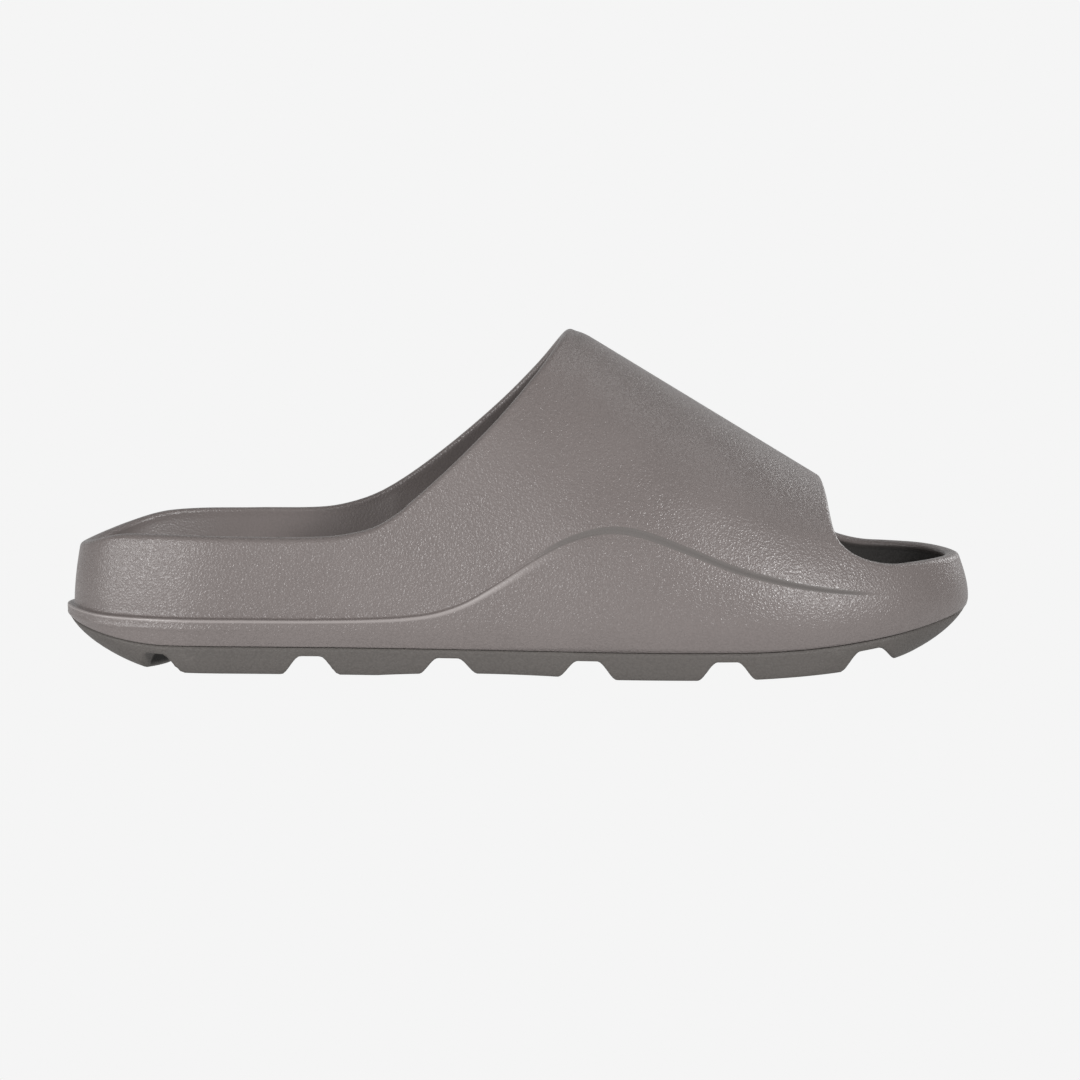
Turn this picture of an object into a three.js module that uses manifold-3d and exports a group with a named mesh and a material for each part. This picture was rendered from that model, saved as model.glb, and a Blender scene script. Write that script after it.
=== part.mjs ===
// A moulded foam slide sandal for the right foot: one soft body that is strap, side wall and footbed
// base in a single shell, an outsole with cross grooves under it, and an insole lying in it.
// Millimetres, +Z up. +X is the toe, -Y the outer side of the foot, +Y the arch side.
// The origin is on the floor under the middle of the shoe.
import * as THREE from "three";
import { mergeVertices } from "three/addons/utils/BufferGeometryUtils.js";
import Module from "manifold-3d";

const wasm = await Module();
wasm.setup();

// Overall sizes
const LENGTH = 290;
const BALL_WIDTH = 108;
const WAIST_WIDTH = 82;
const HEEL_WIDTH = 77;
const INSTEP_HEIGHT = 108;
const INSTEP_PLACE = 163; // from the heel end to the strap's highest point
const RIDGE_SLOPE = 0.607; // fall of the strap's ridge towards the toe
const RIDGE_OFFSET = 4; // the ridge lies this far to the arch side
const THROAT_HEIGHT = 61; // top of the strap's front edge

// Rim, wave and footbed heights
const COLLAR_HEIGHT = 43.4;
const ARCH_COLLAR_RISE = 3.2; // the collar is higher on the arch side
const TOE_RIM_HEIGHT = 35.2;
const WAVE_LOW = 17.2;
const WAVE_HIGH = 46.6;
const HEEL_FOOTBED_HEIGHT = 24;
const BALL_FOOTBED_HEIGHT = 20;

// Walls of the body
const STRAP_WALL = 5.6;
const RIM_WALL = 4.6;
const RIM_RISE = 2.1; // height of the rounding over a rim
const RIM_CREST = 0.3; // the rim is highest this far inside its middle, as a share of half its wall
const RIM_FULLNESS = 0.6; // 1 rounds a rim's inner edge as an ellipse, and less makes it crisper
const STRAP_EASE = 0.2; // share of the strap's length in which its wall eases from the rim's
const FLOOR_WALL = 10.5; // from the widest outline to the foot of the inner wall
const WAVE_STEP = 2.2; // at the heel the side stands this far proud below the wave line
const LEDGE_RISE = 1.4; // height over which the step is made
const SIDE_TUCK = 2.4; // the side pulls in towards the outsole
const STRAP_LEAN = 13; // how far the side has leaned in where the strap begins

// Outsole
const OUTSOLE_HEIGHT = 9;
const HEEL_PARTING_RISE = 6.4;
const HEEL_PARTING_LENGTH = 34;
const TOE_PARTING_RISE = 9.8;
const TOE_PARTING_LENGTH = 80;
const HEEL_BEVEL_RISE = 5;
const HEEL_BEVEL_LENGTH = 42;
const ARCH_RISE = 1.1; // the waist of the outsole stands this far off the floor
const ARCH_MIDDLE = 136; // from the heel end
const ARCH_LENGTH = 70;
const TOE_SPRING = 7.5;
const TOE_SPRING_LENGTH = 87;
const HEEL_BEVEL_SETBACK = 20;
const TOE_BEVEL_SETBACK = 18;
const BEVEL_REACH = 58; // length at each end in which the setback fades out
const OUTSOLE_TUCK = 3;
const OUTSOLE_SETBACK = 0.4; // the outsole's top edge lies this far inside the body's
const GROOVE_COUNT = 6;
const GROOVE_PITCH = 43.2;
const GROOVE_WIDTH = 15.4;
const GROOVE_TOP_WIDTH = 6.6;
const GROOVE_WEB = 2.7; // outsole left above a groove
const GROOVE_CORNER = 2;
const GROOVE_LIP = 1.1; // the lugs' edges are rounded off by this much
const HEEL_GROOVE_TURN = THREE.MathUtils.degToRad(12);
const HEEL_GROOVE_SHIFT = 3.4; // the first groove lies this far forward of the even pitch
const TOE_GROOVE_SHIFT = 1.4; // and so does the last

// Insole and gaps
const INSOLE_THICKNESS = 4;
const HEEL_CUP = 2.4;
const GAP = 0.3;
const INSOLE_SIDE_GAP = 0.8;

// Plan of the widest outline. along is a share of LENGTH, and each reach is a share of the row's width.
const PLAN = [
  { along: 0, width: HEEL_WIDTH, outer: 0, arch: 0 },
  { along: 0.016, width: HEEL_WIDTH, outer: 0.205, arch: 0.205 },
  { along: 0.06, width: HEEL_WIDTH, outer: 0.37, arch: 0.375 },
  { along: 0.135, width: HEEL_WIDTH, outer: 0.465, arch: 0.475 },
  { along: 0.225, width: HEEL_WIDTH, outer: 0.495, arch: 0.505 },
  { along: 0.32, width: WAIST_WIDTH, outer: 0.49, arch: 0.465 },
  { along: 0.42, width: WAIST_WIDTH, outer: 0.535, arch: 0.465 },
  { along: 0.52, width: BALL_WIDTH, outer: 0.45, arch: 0.39 },
  { along: 0.62, width: BALL_WIDTH, outer: 0.49, arch: 0.45 },
  { along: 0.71, width: BALL_WIDTH, outer: 0.5, arch: 0.495 },
  { along: 0.79, width: BALL_WIDTH, outer: 0.482, arch: 0.5 },
  { along: 0.865, width: BALL_WIDTH, outer: 0.425, arch: 0.47 },
  { along: 0.93, width: BALL_WIDTH, outer: 0.325, arch: 0.385 },
  { along: 0.982, width: BALL_WIDTH, outer: 0.165, arch: 0.225 },
  { along: 1, width: BALL_WIDTH, outer: -0.03, arch: 0.03 },
];

// Shape of the side wall. tuck and lean are shares of SIDE_TUCK and STRAP_LEAN, widest is the height of
// the widest line as a share of COLLAR_HEIGHT, base the height where the strap begins as a share of
// WAVE_HIGH, and pitch the slope there. step is the share of WAVE_STEP, below zero where the side stands
// proud above the wave line instead, and spread the share of LEDGE_RISE.
const SIDE = [
  { along: 0, tuck: 0.3, widest: 0.41, base: 1.12, lean: 0.4, pitch: 0.22, step: 1, spread: 0.6 },
  { along: 0.08, tuck: 0.5, widest: 0.39, base: 1.12, lean: 0.3, pitch: 0.18, step: 1, spread: 0.6 },
  { along: 0.2, tuck: 0.6, widest: 0.38, base: 1.12, lean: 0.2, pitch: 0.14, step: 0.85, spread: 0.6 },
  { along: 0.35, tuck: 0.7, widest: 0.39, base: 1.13, lean: 0.2, pitch: 0.13, step: 0.72, spread: 0.6 },
  { along: 0.5, tuck: 0.85, widest: 0.42, base: 1.13, lean: 0.3, pitch: 0.22, step: 0.3, spread: 1 },
  { along: 0.62, tuck: 1, widest: 0.44, base: 1.1, lean: 0.45, pitch: 0.36, step: -0.5, spread: 2.1 },
  { along: 0.74, tuck: 1, widest: 0.43, base: 1.01, lean: 0.58, pitch: 0.5, step: -0.6, spread: 1.7 },
  { along: 0.82, tuck: 1, widest: 0.43, base: 0.91, lean: 0.6, pitch: 0.6, step: -0.45, spread: 1.3 },
  { along: 0.88, tuck: 0.8, widest: 0.45, base: 0.87, lean: 0.5, pitch: 0.5, step: -0.12, spread: 1 },
  { along: 0.94, tuck: 0.4, widest: 0.47, base: 0.86, lean: 0.42, pitch: 0.35, step: 0, spread: 1 },
  { along: 1, tuck: 0.15, widest: 0.48, base: 0.86, lean: 0.4, pitch: 0.3, step: 0, spread: 1 },
];

// Collar from the heel up to the instep. rise is a share of the way from COLLAR_HEIGHT to INSTEP_HEIGHT,
// and extra the share of ARCH_COLLAR_RISE that the arch side has.
const COLLAR = [
  { along: 0, rise: -0.065, extra: 0 },
  { along: 0.05, rise: -0.005, extra: 0.1 },
  { along: 0.1, rise: 0.005, extra: 0.8 },
  { along: 0.2, rise: -0.002, extra: 1 },
  { along: 0.28, rise: 0, extra: 1.05 },
  { along: 0.32, rise: 0.02, extra: 1.4 },
  { along: 0.355, rise: 0.073, extra: 1.7 },
  { along: 0.405, rise: 0.243, extra: 1.45 },
  { along: 0.475, rise: 0.545, extra: 0.8 },
  { along: 0.525, rise: 0.8, extra: 0.2 },
  { along: 0.56, rise: 1, extra: 0 },
  { along: 0.6, rise: 1.22, extra: 0 },
];

// Wave line on the side. rise is a share of the way from WAVE_LOW to WAVE_HIGH.
const WAVE = [
  { along: 0, rise: 0.05 },
  { along: 0.05, rise: 0.01 },
  { along: 0.2, rise: 0 },
  { along: 0.33, rise: 0.015 },
  { along: 0.4, rise: 0.07 },
  { along: 0.44, rise: 0.19 },
  { along: 0.48, rise: 0.42 },
  { along: 0.52, rise: 0.7 },
  { along: 0.555, rise: 0.9 },
  { along: 0.595, rise: 1 },
  { along: 0.63, rise: 0.95 },
  { along: 0.68, rise: 0.76 },
  { along: 0.73, rise: 0.56 },
  { along: 0.78, rise: 0.42 },
  { along: 0.83, rise: 0.33 },
  { along: 0.88, rise: 0.285 },
  { along: 1, rise: 0.27 },
];

// Front edge of the strap, then the toe rim. rise is a share of the way from TOE_RIM_HEIGHT to
// THROAT_HEIGHT.
const THROAT = [
  { along: 0.8385, rise: 1.2 },
  { along: 0.8405, rise: 1 },
  { along: 0.8415, rise: 0.82 },
  { along: 0.8425, rise: 0.62 },
  { along: 0.8455, rise: 0.44 },
  { along: 0.8525, rise: 0.28 },
  { along: 0.866, rise: 0.16 },
  { along: 0.884, rise: 0.07 },
  { along: 0.908, rise: 0.02 },
  { along: 0.935, rise: 0.02 },
  { along: 0.97, rise: 0.01 },
  { along: 1, rise: -0.04 },
];

// Top of the footbed along its middle. rise is a share of the way from BALL_FOOTBED_HEIGHT to
// HEEL_FOOTBED_HEIGHT.
const FOOTBED = [
  { along: 0, rise: 1.2, cup: 1, arch: 0 },
  { along: 0.12, rise: 0.95, cup: 1, arch: 0 },
  { along: 0.24, rise: 1, cup: 0.8, arch: 0.5 },
  { along: 0.4, rise: 1.15, cup: 0.6, arch: 1.6 },
  { along: 0.54, rise: 0.7, cup: 0.4, arch: 0.9 },
  { along: 0.68, rise: 0.1, cup: 0.3, arch: 0 },
  { along: 0.8, rise: 0, cup: 0.3, arch: 0 },
  { along: 0.9, rise: 0.35, cup: 0.3, arch: 0 },
  { along: 1, rise: 1.1, cup: 0.4, arch: 0 },
];

// How finely the surfaces are divided
const HEEL_STATIONS = 15; // from the heel end to the foot of the strap
const STRAP_STATIONS = 17;
const TOE_STATIONS = 11;
const ARCH_STEPS = 26; // across the strap
const LOW_ROWS = 3; // from the outsole to the wave
const HIGH_ROWS = 3; // from the wave to the rim
const ROLL_STEPS = 6; // round the rim
const INNER_ROWS = 3;
const CROSS_STEPS = 5; // across the footbed
const OUTSOLE_ROWS = 4;
const SEARCH_STEPS = 40;

const UP = new THREE.Vector3(0, 0, 1);
const lerp = THREE.MathUtils.lerp;
const share = (x) => x / LENGTH + 0.5;

// One column of a table at a place along the shoe, as a smooth curve through its rows.
function read(table, column, along) {
  const last = table.length - 1;
  const at = THREE.MathUtils.clamp(along, table[0].along, table[last].along);
  let i = 0;
  while (i < last - 1 && table[i + 1].along < at) i++;
  const slope = (j) => {
    const before = table[Math.max(j - 1, 0)];
    const after = table[Math.min(j + 1, last)];
    return (after[column] - before[column]) / (after.along - before.along);
  };
  const span = table[i + 1].along - table[i].along;
  const t = (at - table[i].along) / span;
  return hermite(table[i][column], slope(i) * span, table[i + 1][column], slope(i + 1) * span, t);
}

// Cubic from one value and slope to another, with t from 0 to 1.
function hermite(from, fromSlope, to, toSlope, t) {
  const eased = t * t * (3 - 2 * t);
  return lerp(from, to, eased) + fromSlope * t * (1 - t) ** 2 - toSlope * t * t * (1 - t);
}

// Where a falling function crosses zero.
function crossing(f, low, high) {
  for (let i = 0; i < SEARCH_STEPS; i++) {
    const middle = (low + high) / 2;
    if (f(middle) > 0) low = middle;
    else high = middle;
  }
  return (low + high) / 2;
}

// The curves seen from the side, in millimetres.
const collarHeight = (along, arch) =>
  lerp(COLLAR_HEIGHT, INSTEP_HEIGHT, read(COLLAR, "rise", along)) +
  arch * ARCH_COLLAR_RISE * read(COLLAR, "extra", along);
const waveHeight = (along) => lerp(WAVE_LOW, WAVE_HIGH, read(WAVE, "rise", along));
const footbedHeight = (along) =>
  lerp(BALL_FOOTBED_HEIGHT, HEEL_FOOTBED_HEIGHT, read(FOOTBED, "rise", along));
const floorHeight = (along) => footbedHeight(along) - INSOLE_THICKNESS - GAP;
const ridgeHeight = (x) =>
  INSTEP_HEIGHT - RIM_RISE / 2 - RIDGE_SLOPE * (x + LENGTH / 2 - INSTEP_PLACE);

const fade = (distance, reach, power) => Math.max(0, 1 - distance / reach) ** power;
const partingHeight = (along) =>
  OUTSOLE_HEIGHT +
  HEEL_PARTING_RISE * fade(along * LENGTH, HEEL_PARTING_LENGTH, 1.7) +
  TOE_PARTING_RISE * fade((1 - along) * LENGTH, TOE_PARTING_LENGTH, 2.2);
const groundHeight = (along) =>
  ARCH_RISE * (1 - Math.min(Math.abs(2 * (along * LENGTH - ARCH_MIDDLE)) / ARCH_LENGTH, 1) ** 2) +
  HEEL_BEVEL_RISE * fade(along * LENGTH, HEEL_BEVEL_LENGTH, 2) +
  TOE_SPRING * fade((1 - along) * LENGTH, TOE_SPRING_LENGTH, 2);

const strapBase = (along) => WAVE_HIGH * read(SIDE, "base", along);

// The front edge of the strap and the toe rim as seen from the side, and the line where their
// rounding begins.
const throatCurve = new THREE.SplineCurve(
  THROAT.map(
    ({ along, rise }) =>
      new THREE.Vector2((along - 0.5) * LENGTH, lerp(TOE_RIM_HEIGHT, THROAT_HEIGHT, rise)),
  ),
);
const throatBrink = (t) => {
  const { x, y } = throatCurve.getTangent(t);
  return throatCurve.getPoint(t).add(new THREE.Vector2(y, -x).multiplyScalar(RIM_RISE));
};
const LOWEST_THROAT = (THROAT.length - 4) / (THROAT.length - 1);
const throatPlace = (height) =>
  throatBrink(crossing((t) => throatBrink(t).y - height, 0, LOWEST_THROAT)).x;
const toeBrink = (along) => {
  const x = (along - 0.5) * LENGTH;
  return throatBrink(crossing((t) => x - throatBrink(t).x, LOWEST_THROAT / 4, 1)).y;
};

// The widest outline runs from the heel end along the outer side to the toe, and back on the arch side.
const sections = PLAN.length - 1;
const outline = new THREE.CatmullRomCurve3(
  [
    ...PLAN.map(({ along, width, outer }) => [along, -outer * width]),
    ...PLAN.slice(1, -1)
      .reverse()
      .map(({ along, width, arch }) => [along, arch * width]),
  ].map(([along, y]) => new THREE.Vector3((along - 0.5) * LENGTH, y, 0)),
  true,
  "catmullrom",
);

// A place on the outline: its point, its inward direction and how far along the shoe it is.
// section counts rows of PLAN from the heel, and may lie between two.
function place(section, arch) {
  const t = (arch ? 2 * sections - section : section) / (2 * sections);
  const point = outline.getPoint(t % 1);
  const tangent = outline.getTangent(t % 1);
  const inward = new THREE.Vector3(-tangent.y, tangent.x, 0).normalize();
  return { point, inward, arch, section, along: THREE.MathUtils.clamp(share(point.x), 0, 1) };
}

const ledgeRise = (along) => LEDGE_RISE * read(SIDE, "spread", along);

// How far the body's outer surface lies inside the widest outline at a height.
function wallInset({ along }, height) {
  const parting = partingHeight(along);
  const base = strapBase(along);
  const widest = Math.max(read(SIDE, "widest", along) * COLLAR_HEIGHT, parting + 1);
  const wave = waveHeight(along);
  const step = WAVE_STEP * read(SIDE, "step", along);
  const stepped = step * THREE.MathUtils.clamp((height - wave) / ledgeRise(along), 0, 1);
  if (height < widest) {
    const tuck = SIDE_TUCK * read(SIDE, "tuck", along);
    return stepped + tuck * ((widest - height) / (widest - parting)) ** 2;
  }
  const lean = STRAP_LEAN * read(SIDE, "lean", along);
  const pitch = read(SIDE, "pitch", along);
  const span = base - widest;
  if (height > base) return stepped + lean + pitch * (height - base);
  return stepped + hermite(0, 0, lean, pitch * span, (height - widest) / span);
}

const onWall = (spot, height, further = 0) =>
  spot.point
    .clone()
    .addScaledVector(spot.inward, wallInset(spot, height) + further)
    .setZ(height);

// The hull over the foot at one section: across is 0 at the outer foot of the strap, 0.5 on the
// ridge and 1 at its arch foot.
const SHOULDER = 0.52; // how far up the side goes on straight
const CROWN = 0.5; // how flat the ridge is
function hull(section, across) {
  const feet = [false, true].map((arch) => {
    const spot = place(section, arch);
    const pitch = read(SIDE, "pitch", spot.along);
    const foot = onWall(spot, strapBase(spot.along));
    const rising = UP.clone().addScaledVector(spot.inward, pitch).normalize();
    return { foot, rising };
  });
  const x = (feet[0].foot.x + feet[1].foot.x) / 2;
  const ridge = new THREE.Vector3(x, RIDGE_OFFSET, ridgeHeight(x));
  const { foot, rising } = feet[across > 0.5 ? 1 : 0];
  const shoulder = foot.clone().addScaledVector(rising, SHOULDER * (ridge.z - foot.z));
  const crown = ridge.clone().setY(lerp(ridge.y, foot.y, CROWN));
  const t = across > 0.5 ? 2 - 2 * across : 2 * across;
  return new THREE.CubicBezierCurve3(foot, shoulder, crown, ridge).getPoint(t);
}

// The outward direction of the hull, from its slopes both ways.
function hullNormal(section, across) {
  const step = 0.01;
  const low = Math.max(across - step, 0);
  const high = Math.min(across + step, 1);
  const along = hull(section + step, across).sub(hull(section - step, across));
  const over = hull(section, high).sub(hull(section, low));
  return along.cross(over).normalize();
}

// The sections where the strap's rear and front edges cross the hull.
const heelSide = 3;
const strapRear = (across) =>
  crossing(
    (section) => {
      const p = hull(section, across);
      return p.z - (collarHeight(share(p.x), across) - RIM_RISE);
    },
    heelSide,
    sections - heelSide,
  );
const strapFront = (across) =>
  crossing(
    (section) => {
      const p = hull(section, across);
      return throatPlace(p.z) - p.x;
    },
    heelSide,
    sections - 1,
  );

// A mesh being made from shared vertices.
class Skin {
  points = [];
  faces = [];
  add(point) {
    return this.points.push(point) - 1;
  }
  face(...corners) {
    const used = corners.filter((c, i) => c !== corners[(i + 1) % corners.length]);
    for (let i = 2; i < used.length; i++) this.faces.push(used[0], used[i - 1], used[i]);
  }
  // Faces between neighbouring lists of vertices.
  strips(lists, closed = false, flipped = false) {
    const count = closed ? lists.length : lists.length - 1;
    for (let i = 0; i < count; i++) {
      const here = lists[i];
      const next = lists[(i + 1) % lists.length];
      for (let r = 1; r < here.length; r++) {
        const corners = [here[r - 1], next[r - 1], next[r], here[r]];
        this.face(...(flipped ? corners.reverse() : corners));
      }
    }
  }
  geometry() {
    const made = new THREE.BufferGeometry().setFromPoints(this.points);
    return made.setIndex(this.faces);
  }
}

// The stations round the shoe, the same on every piece. Those of the strap end at its edges.
const sideStations = (arch) => {
  const across = arch ? 1 : 0;
  const rear = strapRear(across);
  const front = strapFront(across);
  const list = [];
  for (let i = 0; i < HEEL_STATIONS; i++) list.push((rear * i) / HEEL_STATIONS);
  for (let i = 0; i < STRAP_STATIONS; i++) list.push(lerp(rear, front, i / STRAP_STATIONS));
  for (let i = 0; i <= TOE_STATIONS; i++) list.push(lerp(front, sections, i / TOE_STATIONS));
  return list.map((section) => place(section, arch));
};
const outerStations = sideStations(false);
const archStations = sideStations(true);
const lastStation = outerStations.length - 1;
const ring = [...outerStations, ...archStations.slice(1, -1).reverse()];
const opposite = (i) => (ring.length - i) % ring.length;
const strapStart = HEEL_STATIONS;
const strapEnd = HEEL_STATIONS + STRAP_STATIONS;
const stationOf = (i) => Math.min(i, opposite(i));

// The strap is a little thicker between its two rounded edges.
const wallThickness = (station) => {
  const along = (station - strapStart) / STRAP_STATIONS;
  const inside = THREE.MathUtils.smoothstep(Math.min(along, 1 - along), 0, STRAP_EASE);
  return lerp(RIM_WALL, STRAP_WALL, inside);
};

// The height at which the outer surface of the body stops and its rim or strap begins.
function brink(i) {
  const { along, arch } = ring[i];
  const station = stationOf(i);
  if (station < strapStart) return collarHeight(along, arch ? 1 : 0) - RIM_RISE;
  if (station > strapEnd) return toeBrink(along);
  return strapBase(along);
}

// Vertices across the shoe from each outer station to the arch station opposite, with faces
// between them. heightAt gives the height from the two edges' heights, the station and how far across.
function bridge(skin, edge, heightAt, flipped) {
  const rows = [];
  for (let station = 0; station <= lastStation; station++) {
    const from = skin.points[edge[station]];
    const to = skin.points[edge[opposite(station)]];
    const row = [edge[station]];
    for (let c = 1; c < CROSS_STEPS; c++) {
      const across = c / CROSS_STEPS;
      const tip = station === 0 || station === lastStation;
      const point = from.clone().lerp(to, across);
      row.push(tip ? edge[station] : skin.add(point.setZ(heightAt(point, station, across))));
    }
    row.push(edge[opposite(station)]);
    rows.push(row);
  }
  skin.strips(rows, false, flipped);
}

// The foot of the inner wall, where the floor of the body begins.
const wallFoot = ({ point, inward }) => {
  const foot = point.clone().addScaledVector(inward, FLOOR_WALL);
  return foot.setZ(floorHeight(share(foot.x)));
};

// The top of the inner wall, one wall thickness in from the outer surface.
function wallTop(i) {
  const spot = ring[i];
  const height = brink(i);
  const step = 1;
  const slope = (wallInset(spot, height) - wallInset(spot, height - step)) / step;
  const outward = UP.clone().multiplyScalar(slope).sub(spot.inward).normalize();
  return onWall(spot, height).addScaledVector(outward, -wallThickness(stationOf(i)));
}

const innerWall = (i, height, further = 0) => {
  const top = wallTop(i);
  const foot = wallFoot(ring[i]);
  return foot
    .clone()
    .lerp(top, (height - foot.z) / (top.z - foot.z))
    .addScaledVector(ring[i].inward, further);
};

// The raised edge of the insole, over the footbed's middle and as a height.
const edgeRise = ({ along, arch }) =>
  HEEL_CUP * (read(FOOTBED, "cup", along) + (arch ? read(FOOTBED, "arch", along) : 0));
const insoleEdge = (spot) => footbedHeight(spot.along) + edgeRise(spot);

// Strap, side walls, rims and the floor under the insole, all one moulding.
function upper() {
  const skin = new Skin();
  const outer = ring.map((spot, i) => {
    const ledge = ledgeRise(spot.along);
    const wave = Math.min(waveHeight(spot.along), brink(i) - 2 * ledge);
    const parting = partingHeight(spot.along);
    const heights = [];
    for (let r = 0; r <= LOW_ROWS; r++) heights.push(lerp(parting, wave, r / LOW_ROWS));
    for (let r = 0; r <= HIGH_ROWS; r++)
      heights.push(lerp(wave + ledge, brink(i), r / HIGH_ROWS));
    return heights.map((height) => skin.add(onWall(spot, height)));
  });
  const inner = ring.map((spot, i) => {
    const foot = wallFoot(spot);
    const top = wallTop(i);
    const lip = innerWall(i, insoleEdge(spot));
    const list = [];
    for (let r = 0; r < INNER_ROWS; r++)
      list.push(skin.add(top.clone().lerp(lip, r / (INNER_ROWS - 1))));
    return [...list, skin.add(foot)];
  });
  skin.strips(outer, true);
  skin.strips(inner, true);
  bridge(skin, inner.map((list) => list.at(-1)), (point) => floorHeight(share(point.x)), false);
  bridge(skin, outer.map((list) => list[0]), (point) => partingHeight(share(point.x)), true);

  // The strap, outside and inside, joined to the walls at its feet
  const outerStrap = [];
  const innerStrap = [];
  const edges = Array.from({ length: ARCH_STEPS + 1 }, (_, c) => {
    const across = c / ARCH_STEPS;
    return { across, rear: strapRear(across), front: strapFront(across) };
  });
  for (let s = 0; s <= STRAP_STATIONS; s++) {
    const station = strapStart + s;
    const out = [outer[station].at(-1)];
    const under = [inner[station][0]];
    for (const { across, rear, front } of edges.slice(1, -1)) {
      const section = lerp(rear, front, s / STRAP_STATIONS);
      const point = hull(section, across);
      out.push(skin.add(point));
      const normal = hullNormal(section, across);
      under.push(skin.add(point.clone().addScaledVector(normal, -wallThickness(station))));
    }
    out.push(outer[opposite(station)].at(-1));
    under.push(inner[opposite(station)][0]);
    outerStrap.push(out);
    innerStrap.push(under);
  }
  skin.strips(outerStrap);
  skin.strips(innerStrap, false, true);

  // The collar and the toe opening are each one closed rim, rolled over from the outside in.
  const pair = (i) => [outer[i].at(-1), inner[i][0]];
  const count = ring.length;
  const collar = [];
  for (let i = -strapStart; i <= strapStart; i++) collar.push(pair((i + count) % count));
  for (let c = 1; c < ARCH_STEPS; c++) collar.push([outerStrap[0][c], innerStrap[0][c]]);
  const toe = [];
  for (let i = strapEnd; i <= count - strapEnd; i++) toe.push(pair(i));
  for (let c = ARCH_STEPS - 1; c > 0; c--)
    toe.push([outerStrap.at(-1)[c], innerStrap.at(-1)[c]]);
  for (const rim of [collar, toe]) rollRim(skin, rim);
  return skin.geometry();
}

// How far out and up a rim's rounding goes at a turn from 0 to half a circle, as shares.
function rimProfile(turn) {
  const up = Math.sin(turn);
  if (turn < Math.PI / 2) return { out: 1 - (1 + RIM_CREST) * (1 - Math.cos(turn)), up };
  const back = (1 - RIM_CREST) * Math.abs(Math.cos(turn)) ** RIM_FULLNESS;
  return { out: -RIM_CREST - back, up: up ** RIM_FULLNESS };
}

// Half a turn of vertices from the outer to the inner vertex of each pair round a closed rim.
function rollRim(skin, rim) {
  const middles = rim.map(([a, b]) => skin.points[a].clone().lerp(skin.points[b], 0.5));
  const rolls = rim.map(([a, b], i) => {
    const tangent = middles[(i + 1) % rim.length].clone().sub(middles.at(i - 1));
    const half = skin.points[a].clone().sub(middles[i]);
    const beyond = half.clone().cross(tangent).setLength(RIM_RISE);
    const list = [a];
    for (let r = 1; r < ROLL_STEPS; r++) {
      const { out, up } = rimProfile((Math.PI * r) / ROLL_STEPS);
      const point = middles[i].clone().addScaledVector(half, out);
      list.push(skin.add(point.addScaledVector(beyond, up)));
    }
    list.push(b);
    return list;
  });
  skin.strips(rolls, true);
}

// A closed mesh as a solid for cutting, and back.
function solid(geometry) {
  const bare = geometry.clone();
  bare.deleteAttribute("normal");
  bare.deleteAttribute("uv");
  const merged = mergeVertices(bare, 1e-4);
  return new wasm.Manifold(
    new wasm.Mesh({
      numProp: 3,
      vertProperties: merged.getAttribute("position").array,
      triVerts: new Uint32Array(merged.index.array),
    }),
  );
}
function geometryOf(made) {
  const { vertProperties, triVerts } = made.getMesh();
  return new THREE.BufferGeometry()
    .setAttribute("position", new THREE.BufferAttribute(vertProperties, 3))
    .setIndex(new THREE.BufferAttribute(triVerts, 1));
}

// The outsole before its grooves: its top lies under the body, and its ends are bevelled.
function outsoleBlank() {
  const skin = new Skin();
  const lists = ring.map((spot) => {
    const { along, point, inward } = spot;
    const parting = partingHeight(along);
    const top = onWall(spot, parting, OUTSOLE_SETBACK);
    top.z = partingHeight(share(top.x)) - GAP;
    const end = Math.max(
      fade(along * LENGTH, BEVEL_REACH, 2),
      fade((1 - along) * LENGTH, BEVEL_REACH, 2),
    );
    const inset = wallInset(spot, parting) + OUTSOLE_TUCK;
    const bottom = point.clone().addScaledVector(inward, inset);
    bottom.x += HEEL_BEVEL_SETBACK * fade(along * LENGTH, BEVEL_REACH, 2);
    bottom.x -= TOE_BEVEL_SETBACK * fade((1 - along) * LENGTH, BEVEL_REACH, 2);
    bottom.z = groundHeight(share(bottom.x));
    const corner = top.clone().lerp(bottom, lerp(0.45, 0.22, end));
    corner.z = lerp(bottom.z, top.z, lerp(0.08, 0.38, end));
    const side = new THREE.QuadraticBezierCurve3(bottom, corner, top);
    return side.getPoints(OUTSOLE_ROWS).map((p) => skin.add(p));
  });
  skin.strips(lists, true);
  bridge(skin, lists.map((list) => list.at(-1)), (p) => partingHeight(share(p.x)) - GAP, false);
  bridge(skin, lists.map((list) => list[0]), (p) => groundHeight(share(p.x)), true);
  return skin.geometry();
}

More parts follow.
